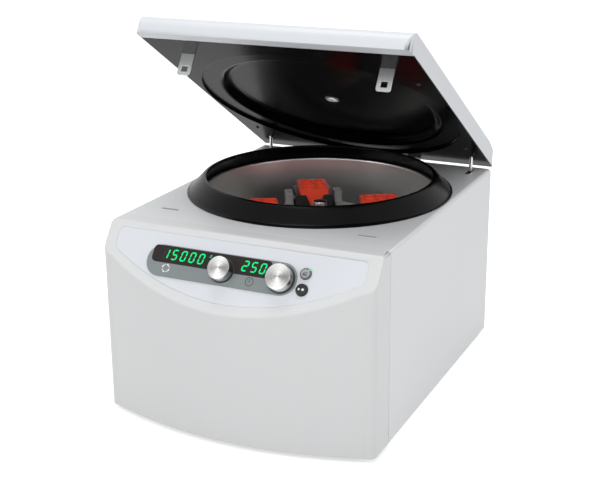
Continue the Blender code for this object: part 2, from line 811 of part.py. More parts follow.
def make_moulding(panel):
    """The one-piece front: bowed, cut off by the slanted panel, hollow behind."""
    solid = slanted_prism(0, SEAM_Y + 2 * OVERRUN, FOOT_HEIGHT - 2 * OVERRUN)
    moulding = piece("front_moulding", "light_moulding", solid)
    fold = cover_profile(HALF_WIDTH, DECK_Z, FOLD_RADIUS)
    fold = [(x, z if z > FOOT_HEIGHT else z - 3 * OVERRUN) for x, z in fold]
    keep_common(moulding, prism(fold, SEAM_Y - 2 * FRONT_REACH, SEAM_Y + COVER_DEPTH, "xzy"))
    round_edges(moulding, MOULD_ROUNDING)
    wide = (-BODY_WIDTH, BODY_WIDTH)
    keep_common(moulding, box(wide, (SEAM_Y - 2 * FRONT_REACH, SEAM_Y - GAP), (FOOT_HEIGHT, 2 * DECK_Z)))
    cut(moulding, slanted_prism(MOULD_WALL, SEAM_Y + OVERRUN, FOOT_HEIGHT - OVERRUN))
    join(moulding, tongue())
    boss_top = -(MOULD_WALL + RECESS_DEPTH) / 2
    bosses = [
        shifted(cylinder(BOSS_RADIUS, GAP - BOARD_DEPTH, boss_top, SMALL_ROUND), u, w)
        for u, w in board_corners()
    ]
    join(moulding, merged(bosses), panel, (0, 0, 0))
    cut(moulding, prism(crescent(), -RECESS_DEPTH, OVERRUN), panel, (0, 0, 0))
    cut(moulding, control_holes(), panel, (0, 0, 0))
    return moulding


def tongue():
    """The band behind the moulding that slides into the cover."""
    half = HALF_WIDTH - SHEET - GAP
    top = DECK_Z - SHEET - GAP
    radius = FOLD_RADIUS - SHEET - GAP
    thick = TONGUE_THICKNESS
    outline = [(half, FOOT_HEIGHT + TRAY_HEIGHT), (half, top - radius)]
    outline += arc((half - radius, top - radius), radius, 0, pi / 2, CORNER_STEPS)[1:]
    outline += arc((radius - half, top - radius), radius, pi / 2, pi, CORNER_STEPS)
    outline += [(-half, FOOT_HEIGHT + TRAY_HEIGHT), (thick - half, FOOT_HEIGHT + TRAY_HEIGHT)]
    outline += [(thick - half, top - thick), (half - thick, top - thick)]
    outline += [(half - thick, FOOT_HEIGHT + TRAY_HEIGHT)]
    return prism(outline, SEAM_Y - TONGUE_DEPTH, SEAM_Y + TONGUE_DEPTH, "xzy")


# Control panel pieces, all in the slanted panel's own frame


def make_panel_film(panel):
    """Film in the crescent recess."""
    low = GAP - RECESS_DEPTH
    film = piece("control_panel", "panel_film", prism(crescent(GAP), low, low + OVERLAY_THICKNESS), panel)
    cut(film, control_holes())
    return film


def make_bezel(panel):
    """Pill-shaped bezel with the pocket for the display window."""
    low = 2 * GAP + OVERLAY_THICKNESS - RECESS_DEPTH
    radius = (BEZEL_BOTTOM - BEZEL_TOP) / 2 - GAP
    outline = rectangle(BEZEL_LEFT, BEZEL_RIGHT, -BEZEL_BOTTOM, -BEZEL_TOP, radius, 2 * CORNER_STEPS)
    bezel = piece("display_bezel", "bezel_grey", prism(outline, low, low + BEZEL_THICKNESS), panel)
    pocket_floor = low + BEZEL_THICKNESS - WINDOW_POCKET
    cut(bezel, prism(window_outline(0), pocket_floor, OVERRUN))
    cut(bezel, control_holes(for_bezel=True))
    return bezel


def window_outline(shrink):
    """Outline of the display window."""
    return rectangle(
        WINDOW_LEFT + shrink,
        WINDOW_RIGHT - shrink,
        shrink - WINDOW_BOTTOM,
        -WINDOW_TOP - shrink,
        WINDOW_RADIUS - shrink,
    )


def make_window(panel):
    """Display window in its pocket, notched round the speed knob's bush."""
    top = 2 * GAP + OVERLAY_THICKNESS - RECESS_DEPTH + BEZEL_THICKNESS
    low = top - WINDOW_POCKET + GAP
    window = piece("display_window", "display_black", prism(window_outline(GAP), low, top), panel)
    cut(window, panel_hole(SPEED_KNOB_U, SPEED_KNOB_V, ENCODER_BUSH_RADIUS + HOLE_EASE))
    return window


def make_knob(panel, name, u, v, radius):
    """Turned knob with a stem that runs in the encoder's bush."""
    top = KNOB_LIFT + KNOB_HEIGHT
    crown = radius - KNOB_TAPER
    profile = [(0, top)]
    profile += [(KNOB_STEM_RADIUS * KNOB_HUB_SHARE, top)]
    profile += list(reversed(arc((crown - KNOB_ROUNDING, top - KNOB_ROUNDING), KNOB_ROUNDING, 0, pi / 2, 3)))
    profile += [(radius, KNOB_LIFT), (KNOB_BORE, KNOB_LIFT), (KNOB_BORE, KNOB_LIFT + KNOB_BORE_DEPTH)]
    profile += [(KNOB_STEM_RADIUS, KNOB_LIFT + KNOB_BORE_DEPTH), (KNOB_STEM_RADIUS, -KNOB_STEM_REACH / 2)]
    profile += [(0, -KNOB_STEM_REACH / 2)]
    knob = piece(name, "spun_aluminium", lathe(profile, KNOB_ROUND), panel, (u, -v, 0))
    half = POINTER_WIDTH / 2
    reach = (radius * POINTER_INNER_SHARE, radius * 2)
    line = box((-half, half), reach, (top - POINTER_DEPTH, top + OVERRUN))
    cut(knob, line)
    return knob


def make_button(panel, name, finish, v, radius):
    """Push button held behind the panel by its flange."""
    top = BUTTON_PROUD
    flange_top = -MOULD_WALL - GAP
    flange_low = flange_top - BUTTON_FLANGE_THICKNESS
    tip = BUTTON_TRAVEL + GAP - BOARD_DEPTH
    profile = [(0, top + BUTTON_CROWN), (radius / 2, top + BUTTON_CROWN * CROWN_SHARE)]
    profile += [(radius - BUTTON_CROWN, top), (radius, top - BUTTON_CROWN)]
    profile += [(radius, flange_top), (radius + BUTTON_FLANGE, flange_top)]
    profile += [(radius + BUTTON_FLANGE, flange_low), (BUTTON_STEM_RADIUS, flange_low)]
    profile += [(BUTTON_STEM_RADIUS, tip), (0, tip)]
    return piece(name, finish, lathe(profile, ROUND), panel, (BUTTON_U, -v, 0))


def make_board(panel):
    """Circuit board on the moulding's bosses."""
    outline = rectangle(BOARD_LEFT, BOARD_RIGHT, -BOARD_BOTTOM, -BOARD_TOP)
    return piece(
        "panel_board", "board_green", prism(outline, -BOARD_DEPTH - BOARD_THICKNESS, -BOARD_DEPTH), panel
    )


def make_encoder(panel, name, u, v):
    """Rotary encoder: square body on the board, round bush through the panel."""
    half = ENCODER_SIDE / 2
    low = GAP - BOARD_DEPTH
    body = box((-half, half), (-half, half), (low, low + ENCODER_BODY))
    encoder = piece(name, "zinc_steel", body, panel, (u, -v, 0))
    join(encoder, cylinder(ENCODER_BUSH_RADIUS, low + ENCODER_BODY / 2, ENCODER_BUSH_TOP, BOSS_ROUND))
    cut(encoder, cylinder(ENCODER_BORE, ENCODER_BUSH_TOP - ENCODER_BORE_DEPTH, OVERRUN, SMALL_ROUND))
    return encoder


def make_controls():
    """The slanted panel with everything on it."""
    panel = empty("panel_frame", (0, PANEL_TOP_Y, DECK_Z), tilt=PANEL_TILT)
    make_moulding(panel)
    make_panel_film(panel)
    make_bezel(panel)
    make_window(panel)
    make_board(panel)
    make_encoder(panel, "encoder_speed", SPEED_KNOB_U, SPEED_KNOB_V)
    make_encoder(panel, "encoder_time", TIME_KNOB_U, TIME_KNOB_V)
    make_knob(panel, "knob_speed", SPEED_KNOB_U, SPEED_KNOB_V, SPEED_KNOB_RADIUS)
    make_knob(panel, "knob_time", TIME_KNOB_U, TIME_KNOB_V, TIME_KNOB_RADIUS)
    make_button(panel, "button_start", "black_plastic", START_BUTTON_V, START_BUTTON_RADIUS)
    make_button(panel, "button_lid", "button_grey", LID_BUTTON_V, LID_BUTTON_RADIUS)


# Chassis: tray, rear panel, feet, inlet and switch


def make_tray():
    """Base pan with an upturned edge and intake slots."""
    front = SEAM_Y + TRAY_FRONT_INSET
    back = REAR_PANEL_FRONT - GAP
    top = FOOT_HEIGHT + TRAY_HEIGHT - GAP
    tray = piece("base_tray", "zinc_steel", box((-TRAY_HALF, TRAY_HALF), (front, back), (TRAY_BOTTOM, top)))
    inner = TRAY_HALF - SHEET
    cut(tray, box((-inner, inner), (front + SHEET, back - SHEET), (TRAY_FLOOR, top + OVERRUN)))
    slots = []
    through = (TRAY_BOTTOM - OVERRUN, TRAY_FLOOR + OVERRUN)
    half = TRAY_SLOT_LENGTH / 2
    for row in range(TRAY_ROWS):
        y = front + TRAY_SLOT_SETBACK + row * TRAY_SLOT_PITCH
        for side in (-1, 1):
            x = side * TRAY_SLOT_LENGTH
            slots.append(box((x - half, x + half), (y, y + TRAY_SLOT_WIDTH), through))
    cut(tray, merged(slots))
    return tray


def make_rear_panel():
    """Rear panel with two banks of vents and the inlet's opening."""
    top = DECK_Z - SHEET - GAP
    radius = FOLD_RADIUS - SHEET
    outline = rounded(
        [
            (-TRAY_HALF, TRAY_BOTTOM, 0),
            (TRAY_HALF, TRAY_BOTTOM, 0),
            (TRAY_HALF, top, radius),
            (-TRAY_HALF, top, radius),
        ]
    )
    panel = piece("rear_panel", "cover_paint", prism(outline, REAR_PANEL_FRONT, REAR_PANEL_BACK, "xzy"))
    cutters = []
    deep = (REAR_PANEL_FRONT - OVERRUN, REAR_PANEL_BACK + OVERRUN)
    half = VENT_LENGTH / 2
    for side in (-1, 0, 1):
        for row in range(VENT_ROWS):
            low = FOOT_HEIGHT + VENT_LOW + row * VENT_PITCH
            x = side * VENT_OFFSET
            cutters.append(box((x - half, x + half), deep, (low, low + VENT_WIDTH)))
    inner = INLET_WIDTH / 2 - INLET_FLANGE
    tall = INLET_HEIGHT / 2 - INLET_FLANGE
    middle = FOOT_HEIGHT + INLET_Z
    cutters.append(
        box(
            (INLET_X - inner - GAP, INLET_X + inner + GAP),
            deep,
            (middle - tall - GAP, middle + tall + GAP),
        )
    )
    cut(panel, merged(cutters))
    return panel


def make_foot(name, x, y):
    """Rubber foot with a dimple where its screw sits."""
    profile = [(0, FOOT_HEIGHT), (FOOT_RADIUS, FOOT_HEIGHT), (FOOT_RADIUS - FOOT_TAPER, 0)]
    profile += [(FOOT_DIMPLE_RADIUS, 0), (FOOT_DIMPLE_RADIUS, FOOT_DIMPLE_DEPTH), (0, FOOT_DIMPLE_DEPTH)]
    return piece(name, "black_rubber", lathe(profile, ROUND), None, (x, y, 0))


def make_feet():
    """Four feet, set in from the corners."""
    x = HALF_WIDTH - FOOT_INSET_X
    for name, y in (("front", SEAM_Y + FOOT_INSET_Y), ("rear", REAR_Y - FOOT_INSET_Y)):
        make_foot(f"foot_{name}_left", -x, y)
        make_foot(f"foot_{name}_right", x, y)


def make_inlet():
    """Mains socket with three prongs, under the switch's well, as one moulded module."""
    half = INLET_WIDTH / 2
    tall = INLET_HEIGHT / 2
    face = REAR_PANEL_BACK + GAP
    back = face + INLET_FLANGE_THICKNESS
    place = (INLET_X, 0, FOOT_HEIGHT + INLET_Z)
    plate = prism(rectangle(-half, half, -tall, tall, INLET_FLANGE / 2), face, back, "xzy")
    inlet = piece("inlet_module", "black_plastic", plate, None, place)
    inner = half - INLET_FLANGE
    high = tall - INLET_FLANGE
    join(inlet, box((-inner, inner), (face - INLET_BODY_DEPTH, face + GAP), (-high, high)))
    wide = SOCKET_WIDTH / 2
    low = -SOCKET_DROP - SOCKET_HEIGHT / 2
    top = SOCKET_HEIGHT / 2 - SOCKET_DROP
    mouth = [(-wide, low), (wide, low), (wide, top - SOCKET_CHAMFER), (wide - SOCKET_CHAMFER, top)]
    mouth += [(SOCKET_CHAMFER - wide, top), (-wide, top - SOCKET_CHAMFER)]
    floor = back - SOCKET_DEPTH
    cut(inlet, prism(mouth, floor, back + OVERRUN, "xzy"))
    wide = SWITCH_WIDTH / 2 + SWITCH_EASE
    high = SWITCH_HEIGHT / 2 + SWITCH_EASE
    well = (SWITCH_RISE - high, SWITCH_RISE + high)
    cut(inlet, box((-wide, wide), (back - SWITCH_WELL_DEPTH, back + OVERRUN), well))
    prongs = []
    for column in (-1, 0, 1):
        x = column * PRONG_SPACING
        z = -SOCKET_DROP + (PRONG_RISE if column == 0 else -PRONG_RISE)
        prongs.append(
            box(
                (x - PRONG_WIDTH / 2, x + PRONG_WIDTH / 2),
                (floor - PRONG_HEIGHT / 2, floor + PRONG_LENGTH),
                (z - PRONG_HEIGHT / 2, z + PRONG_HEIGHT / 2),
            )
        )
    join(inlet, merged(prongs))
    return inlet


def make_switch():
    """Rocker whose two faces meet over its pivot."""
    half = SWITCH_WIDTH / 2
    tall = SWITCH_HEIGHT / 2
    proud = SWITCH_THICKNESS / 2
    lift = tall * sin(SWITCH_TILT)
    outline = [(-proud, -tall + lift), (-proud, tall - lift), (proud + lift, tall - lift)]
    outline += [(proud, 0), (proud + lift, lift - tall)]
    y = REAR_PANEL_BACK + GAP + INLET_FLANGE_THICKNESS - proud
    place = (INLET_X, y, FOOT_HEIGHT + INLET_Z + SWITCH_RISE)
    pivot = empty("switch_pivot", place, tilt=SWITCH_TILT)
    return piece("power_switch", "black_gloss", prism(outline, -half, half, "yzx"), pivot)


# Bowl, seal, armour ring and motor


def make_bowl():
    """Spun steel bowl hanging in the deck by its rolled rim."""
    outer = BOWL_RADIUS + BOWL_THICKNESS
    floor = BOWL_FLOOR_Z
    corner = BOWL_CORNER_RADIUS
    inside = arc((BOWL_RADIUS - corner, floor + corner), corner, 0, -pi / 2, SECTION_STEPS)
    outside = arc((BOWL_RADIUS - corner, floor + corner), corner + BOWL_THICKNESS, -pi / 2, 0, SECTION_STEPS)
    top = DECK_Z + BOWL_RIM_RISE
    edge = (BOWL_RIM_RISE - GAP) / 2
    profile = [(outer, DECK_Z + GAP), (BOWL_RIM_RADIUS - edge, DECK_Z + GAP)]
    profile += [(BOWL_RIM_RADIUS, DECK_Z + GAP + edge), (BOWL_RIM_RADIUS - edge, top)]
    profile += [(BOWL_RADIUS + edge, top), (BOWL_RADIUS, top - edge)]
    profile += inside
    profile += [(BOWL_SHAFT_HOLE, floor), (BOWL_SHAFT_HOLE, floor - BOWL_THICKNESS)]
    profile += outside
    return piece("bowl", "brushed_steel", lathe(profile, BIG_ROUND), None, (0, AXIS_Y, 0))


def make_seal():
    """Hollow rubber lip round the bowl, leaning in to its rim."""
    rim = DECK_Z + SEAL_HEIGHT
    tip = arc((SEAL_RIM_RADIUS, rim - SEAL_TIP_RADIUS), SEAL_TIP_RADIUS, 0, pi, SECTION_STEPS)
    base = DECK_Z + GAP
    profile = [(SEAL_BASE_RADIUS, base), (SEAL_BASE_RADIUS, base + SEAL_WALL / 2)]
    profile += tip
    grip = DECK_Z + SEAL_GRIP_HEIGHT
    profile += [(SEAL_INNER_BASE - SEAL_WALL / 2, grip + SEAL_WALL / 2), (SEAL_INNER_BASE, grip)]
    profile += [(SEAL_INNER_BASE, base), (SEAL_INNER_BASE + SEAL_WALL, base)]
    profile += [(SEAL_INNER_BASE + SEAL_WALL / 2, grip + SEAL_WALL / 2)]
    profile += [(SEAL_RIM_RADIUS + SEAL_TIP_RADIUS, rim - 3 * SEAL_TIP_RADIUS)]
    profile += [(SEAL_BASE_RADIUS - SEAL_WALL * 3 / 2, base + SEAL_WALL / 2)]
    profile += [(SEAL_BASE_RADIUS - SEAL_WALL * 3 / 2, base)]
    return piece("lip_seal", "black_rubber", lathe(profile, BIG_ROUND), None, (0, AXIS_Y, 0))


def make_guard():
    """Armour ring from the tray up to the deck."""
    low = TRAY_FLOOR + GAP
    high = DECK_Z - SHEET - GAP
    inner = GUARD_RADIUS - GUARD_THICKNESS
    profile = [(inner, low), (GUARD_RADIUS, low), (GUARD_RADIUS, high), (inner, high)]
    return piece("guard_ring", "zinc_steel", lathe(profile, BIG_ROUND), None, (0, AXIS_Y, 0))


def make_motor():
    """Motor with its mounting flange and the bore its spindle runs in."""
    low = TRAY_FLOOR + DAMPER_HEIGHT + 2 * GAP
    flange = low + MOTOR_FLANGE_THICKNESS
    top = FOOT_HEIGHT + MOTOR_TOP
    boss = FOOT_HEIGHT + MOTOR_BOSS_TOP
    profile = [(MOTOR_BORE, boss), (MOTOR_BOSS_RADIUS, boss), (MOTOR_BOSS_RADIUS, top)]
    profile += [(MOTOR_RADIUS - MOTOR_ROUNDING, top), (MOTOR_RADIUS, top - MOTOR_ROUNDING)]
    profile += [(MOTOR_RADIUS, flange), (MOTOR_FLANGE_RADIUS, flange), (MOTOR_FLANGE_RADIUS, low)]
    floor = FOOT_HEIGHT + MOTOR_BORE_FLOOR
    profile += [(0, low), (0, floor), (MOTOR_BORE, floor)]
    return piece("motor", "cast_grey", lathe(profile, ROUND), None, (0, AXIS_Y, 0))


def make_dampers():
    """Waisted rubber dampers under the motor's flange."""
    low = TRAY_FLOOR + GAP
    high = low + DAMPER_HEIGHT
    middle = (low + high) / 2
    profile = [(0, low), (DAMPER_RADIUS, low), (DAMPER_WAIST, middle), (DAMPER_RADIUS, high), (0, high)]
    for index in range(DAMPER_COUNT):
        angle = pi / 2 + tau * index / DAMPER_COUNT
        place = (DAMPER_CIRCLE * cos(angle), AXIS_Y + DAMPER_CIRCLE * sin(angle), 0)
        piece(f"damper_{index + 1}", "black_rubber", lathe(profile, EYE_ROUND), None, place)


def make_power_unit():
    """Power unit with a finned front, on the tray ahead of the armour ring."""
    low = TRAY_FLOOR + GAP
    front = SEAM_Y + POWER_FRONT_INSET
    back = front + POWER_DEPTH
    high = low + POWER_HEIGHT
    unit = piece("power_unit", "zinc_steel", box((POWER_LEFT, POWER_RIGHT), (front, back), (low, high)))
    pitch = (POWER_RIGHT - POWER_LEFT) / (POWER_FIN_COUNT + 1)
    half = POWER_FIN_WIDTH / 2
    gaps = []
    for index in range(POWER_FIN_COUNT):
        x = POWER_LEFT + pitch * (index + 1)
        inner = front + POWER_FIN_DEPTH
        gaps.append(box((x - half, x + half), (front - OVERRUN, inner), (low + half, high + OVERRUN)))
    cut(unit, merged(gaps))
    return unit


# Rotor


def make_spindle():
    """Drive spindle with a threaded tip."""
    foot = FOOT_HEIGHT + SPINDLE_FOOT
    shoulder = DECK_Z - HUB_BOTTOM_DROP - GAP
    thread = DECK_Z - HUB_TOP_DROP
    tip = thread + NUT_HEIGHT / 2
    profile = [(0, foot), (SPINDLE_RADIUS, foot), (SPINDLE_RADIUS, shoulder)]
    profile += [(SPINDLE_TIP_RADIUS, shoulder), (SPINDLE_TIP_RADIUS, thread - NUT_SKIRT)]
    profile += [(SPINDLE_THREAD_RADIUS, thread - NUT_SKIRT), (SPINDLE_THREAD_RADIUS, tip), (0, tip)]
    return piece("spindle", "bright_rod", lathe(profile, SMALL_ROUND), None, (0, AXIS_Y, 0))


def quarter_outline():
    """One quarter of the cross seen from above, between two buckets."""
    half = WEB_HALF_WIDTH
    near = FORK_INNER + half - HUB_WAIST * WAIST_SHARE
    side = [(HUB_RADIUS, half), (near, FORK_INNER), (FORK_REACH, FORK_INNER), (FORK_REACH, FORK_OUTER)]
    side += [(FORK_THROAT, FORK_OUTER)]
    return side + [(y, x) for x, y in reversed(side)]


def cross_outline():
    """The whole cross seen from above."""
    found = []
    for quarter in range(PLACES):
        turn = tau * quarter / PLACES
        for x, y in quarter_outline():
            found.append((x * cos(turn) - y * sin(turn), x * sin(turn) + y * cos(turn)))
    return found


def quarter_turn(shape, quarter):
    """The same shape at another place of the rotor."""
    return moved(shape, Matrix.Rotation(tau * quarter / PLACES, 4, "Z"))


def fork_post(side):
    """The raised end of a fork, grooved on its outer faces, with its trunnion pin."""
    low = DECK_Z - WEB_BOTTOM_DROP
    high = DECK_Z - POST_TOP_DROP
    outline = [(POST_START, FORK_INNER), (FORK_REACH, FORK_INNER), (FORK_REACH, FORK_OUTER)]
    pitch = (FORK_REACH - POST_START) / (POST_GROOVES + 1)
    half = POST_GROOVE_WIDTH / 2
    for index in range(POST_GROOVES):
        x = FORK_REACH - pitch * (index + 1)
        outline += [(x + half, FORK_OUTER), (x, FORK_OUTER - POST_GROOVE_DEPTH), (x - half, FORK_OUTER)]
    outline += [(POST_START, FORK_OUTER)]
    outline = [(x, side * y) for x, y in outline]
    return prism(outline, low, high)


def trunnion_pin(side):
    """A pin that reaches from the fork into the bucket's groove."""
    ends = sorted((side * PIN_REACH, side * (FORK_INNER + FORK_OUTER) / 2))
    pin = prism(circle(TRUNNION_PIN_RADIUS, SMALL_ROUND, (TRUNNION_RADIUS, TRUNNION_Z)), *ends, "xzy")
    return pin


def make_cross():
    """Cast cross: hub, four webs and eight forks with their pins."""
    low = DECK_Z - WEB_BOTTOM_DROP
    high = DECK_Z - WEB_TOP_DROP
    rotor = empty("rotor_frame", (0, AXIS_Y, 0), turn=ROTOR_AZIMUTH)
    cross = piece("rotor_cross", "cast_grey", prism(cross_outline(), low, high), rotor)
    bottom = DECK_Z - HUB_BOTTOM_DROP
    flare = DECK_Z - HUB_FLARE_DROP
    top = DECK_Z - HUB_TOP_DROP - GAP
    hub = [(0, bottom), (HUB_WAIST, bottom), (HUB_WAIST, flare - HUB_WAIST / 2), (HUB_RADIUS, flare)]
    hub += [(HUB_RADIUS, high + HUB_WAIST * WAIST_SHARE), (HUB_WAIST, top), (0, top)]
    join(cross, lathe(hub, ROUND))
    posts = []
    pins = []
    for quarter in range(PLACES):
        for side in (-1, 1):
            posts.append(quarter_turn(fork_post(side), quarter))
            pins.append(quarter_turn(trunnion_pin(side), quarter))
    join(cross, merged(posts))
    join(cross, merged(pins))
    bore = SPINDLE_TIP_RADIUS + GAP
    cut(cross, cylinder(bore, bottom - OVERRUN, top + OVERRUN, SMALL_ROUND))
    return cross


def make_nut():
    """Knurled clamping nut on the spindle's thread."""
    low = DECK_Z - HUB_TOP_DROP
    high = low + NUT_HEIGHT
    bore = SPINDLE_THREAD_RADIUS + GAP
    profile = [(bore, low), (NUT_RADIUS, low), (NUT_RADIUS, low + NUT_SKIRT)]
    step = NUT_SKIRT / 4
    profile += [(NUT_RADIUS - step, low + NUT_SKIRT), (NUT_RADIUS - 2 * step, high - step)]
    profile += [(NUT_RADIUS - NUT_SKIRT, high), (0, high), (0, high - NUT_SKIRT), (bore, high - NUT_SKIRT)]
    return piece("rotor_nut", "spun_aluminium", lathe(profile, PLUG_ROUND), None, (0, AXIS_Y, 0))


def make_bucket(frame, name):
    """Bucket open at the top, notched towards the hub, hanging on two pins by its side grooves."""
    x = BUCKET_HALF_RADIAL
    y = BUCKET_HALF_TANGENT
    low = -BUCKET_BELOW_PIN
    high = BUCKET_ABOVE_PIN
    plan = rectangle(-x, x, -y, y, BUCKET_CORNER, 3)
    bucket = piece(name, "black_plastic", prism(plan, low, high), frame)
    wide = y - BUCKET_WALL_TANGENT
    long = x - BUCKET_WALL_RADIAL
    hollow = rectangle(-long, long, -wide, wide, ADAPTER_CORNER, 2)
    cut(bucket, prism(hollow, low + BUCKET_FLOOR, high + OVERRUN))
    top = NOTCH_TOP_WIDTH / 2
    tip = NOTCH_BOTTOM_WIDTH / 2
    notch = [(-top, high + GAP), (top, high + GAP), (tip, high - NOTCH_DEPTH), (-tip, high - NOTCH_DEPTH)]
    cut(bucket, prism(notch, -x - OVERRUN, -long + BUCKET_WALL_RADIAL / 2, "yzx"))
    radius = TRUNNION_PIN_RADIUS + BUCKET_GROOVE_EASE
    groove = [(-radius, low - OVERRUN), (radius, low - OVERRUN)]
    groove += arc((0, 0), radius, 0, pi, SMALL_ROUND // 2)
    cut(bucket, prism(groove, y - BUCKET_GROOVE_DEPTH, y + OVERRUN, "xzy"))
    cut(bucket, prism(groove, -y - OVERRUN, BUCKET_GROOVE_DEPTH - y, "xzy"))
    return bucket


def make_adapter(frame, name):
    """Adapter block with six tube holes, standing in the bucket."""
    x = BUCKET_HALF_RADIAL - BUCKET_WALL_RADIAL - GAP
    y = BUCKET_HALF_TANGENT - BUCKET_WALL_TANGENT - GAP
    low = GAP + BUCKET_FLOOR - BUCKET_BELOW_PIN
    plan = rectangle(-x, x, -y, y, ADAPTER_CORNER, 2)
    adapter = piece(name, "adapter_red", prism(plan, low, ADAPTER_ABOVE_PIN), frame)
    holes = []
    for row in range(TUBE_ROWS):
        for column in range(TUBE_COLUMNS):
            x = TUBE_PITCH_RADIAL * (row - (TUBE_ROWS - 1) / 2)
            y = TUBE_PITCH_TANGENT * (column - (TUBE_COLUMNS - 1) / 2)
            hole = cylinder(TUBE_HOLE_RADIUS, low + TUBE_FLOOR, ADAPTER_ABOVE_PIN + OVERRUN, SMALL_ROUND)
            holes.append(shifted(hole, x, y))
    cut(adapter, merged(holes))
    return adapter


def make_rotor():
    """Spindle, cross, nut and four buckets with their adapters."""
    make_spindle()
    make_cross()
    make_nut()
    for index in range(PLACES):
        angle = ROTOR_AZIMUTH + tau * index / PLACES
        place = (TRUNNION_RADIUS * cos(angle), AXIS_Y + TRUNNION_RADIUS * sin(angle), TRUNNION_Z)
        frame = empty(f"trunnion_{index + 1}", place, turn=angle)
        make_bucket(frame, f"bucket_{index + 1}")
        make_adapter(frame, f"adapter_{index + 1}")


# Lid, modelled closed in the hinge's frame, which opens it


def lid_y(s):
    """Across the closed lid, from the hinge line."""
    return LID_EDGE_Y - s


def lid_z(n):
    """Up into the closed lid, from the hinge line."""
    return LID_EDGE_Z + n


def lid_points(points):
    """A side view given in (s, n), in the hinge's frame."""
    return [(lid_y(point[0]), lid_z(point[1])) for point in points]


def lid_side_view():
    """Outer side view of the lid: leaning back, flat top, rounded nose."""
    nose = []
    for step in range(CORNER_STEPS + 1):
        angle = pi / 2 * step / CORNER_STEPS
        nose.append(
            (
                LID_LENGTH - LID_NOSE_SETBACK * (1 - sin(angle)),
                LID_THICKNESS - LID_NOSE_DROP * (1 - cos(angle)),
            )
        )
    view = [(LID_LENGTH, -OVERRUN), (-OVERRUN / 2, -OVERRUN), (LID_REAR_LEAN, LID_REAR_RISE)]
    view += [(LID_REAR_SHOULDER, LID_THICKNESS)]
    return view + nose


def lid_hollow_view():
    """Side view of the hollow inside the lid, open below except over the front lip."""
    wall = LID_WALL
    nose = LID_LENGTH - LID_NOSE_SETBACK
    top = LID_THICKNESS - wall
    lean = LID_REAR_LEAN / LID_REAR_RISE
    across = wall * hypot(1, lean)
    view = [(LID_LENGTH - LIP_DEPTH, -2 * OVERRUN), (across - 2 * OVERRUN * lean, -2 * OVERRUN)]
    view += [(across + (LID_REAR_RISE - wall) * lean, LID_REAR_RISE - wall)]
    view += [(LID_REAR_SHOULDER, top), (nose, top)]
    nose = LID_LENGTH - wall - LID_NOSE_SETBACK * NOSE_SETBACK_SHARE
    view += [(nose, LID_THICKNESS - LID_NOSE_DROP * NOSE_DROP_SHARE)]
    view += [(LID_LENGTH - wall, LID_WALL + GAP), (LID_LENGTH - LIP_DEPTH, LID_WALL + GAP)]
    return view


def make_lid_shell(lid):
    """Moulded outer shell, hollow, with the return lip under its front edge."""
    width = LID_HALF_WIDTH
    shell = piece("lid_shell", "lid_moulding", prism(lid_points(lid_side_view()), -width, width, "yzx"), lid)
    front = lid_y(LID_LENGTH)
    back = lid_y(-LID_LENGTH)
    radius = LID_CORNER_RADIUS
    plan = rounded([(-width, front, radius), (width, front, radius), (width, back, 0), (-width, back, 0)])
    keep_common(shell, prism(plan, lid_z(-2 * OVERRUN), lid_z(2 * LID_THICKNESS)))
    round_edges(shell, LID_ROUNDING)
    inner = width - LID_WALL
    cut(shell, prism(lid_points(lid_hollow_view()), -inner, inner, "yzx"))
    lip = lid_y(LID_LENGTH - LIP_DEPTH)
    clear = (-2 * width, 2 * width)
    cut(shell, box(clear, (lip, 2 * LID_LENGTH), (lid_z(-3 * OVERRUN), lid_z(LINER_THICKNESS + GAP))))
    cut(shell, box(clear, (-2 * LID_LENGTH, 2 * LID_LENGTH), (lid_z(-3 * OVERRUN), lid_z(0))))
    hole = cylinder(PEEP_RADIUS + GAP, lid_z(0), lid_z(2 * LID_THICKNESS), PLUG_ROUND)
    cut(shell, shifted(hole, 0, lid_y(LINER_CENTRE_S)))
    return shell


def liner_ring(shape, radius, depth):
    """A ring of points of the liner's underside."""
    middle = lid_y(LINER_CENTRE_S)
    return [shape.verts.new((x, middle + y, lid_z(depth))) for x, y in circle(radius, BIG_ROUND)]


def liner_edge(shape):
    """The liner's rectangular edge, with one point for each point of a ring."""
    half = LID_HALF_WIDTH - GAP
    middle = lid_y(LINER_CENTRE_S)
    front = lid_y(LID_LENGTH - LIP_DEPTH - GAP) - middle
    back = lid_y(GAP) - middle
    found = []
    for x, y in circle(1, BIG_ROUND):
        reach = min(
            half / max(abs(x), GAP),
            (back / y) if y > GAP else BODY_WIDTH * 2,
            (front / y) if y < -GAP else BODY_WIDTH * 2,
        )
        found.append([reach * x, reach * y])
    for corner_x, corner_y in ((half, back), (-half, back), (-half, front), (half, front)):
        nearest = min(found, key=lambda point: hypot(point[0] - corner_x, point[1] - corner_y))
        nearest[0] = corner_x
        nearest[1] = corner_y
    return [shape.verts.new((x, middle + y, lid_z(0))) for x, y in found]


def liner_solid():
    """The liner's pressed sheet: flat edge, step, ledge, cone and floor, thickened upwards."""
    shape = bmesh.new()
    lower = [
        liner_edge(shape),
        liner_ring(shape, LINER_STEP_OUTER, 0),
        liner_ring(shape, LINER_STEP_INNER, LINER_STEP_DEPTH),
        liner_ring(shape, LINER_LEDGE_INNER, LINER_STEP_DEPTH),
        liner_ring(shape, LINER_FLOOR_RADIUS, LINER_FLOOR_DEPTH),
        liner_ring(shape, PEEP_RADIUS + GAP, LINER_FLOOR_DEPTH),
    ]
    for outer, inner in zip(lower, lower[1:]):
        for index in range(BIG_ROUND):
            shape.faces.new((outer[index - 1], outer[index], inner[index], inner[index - 1]))
    return shape


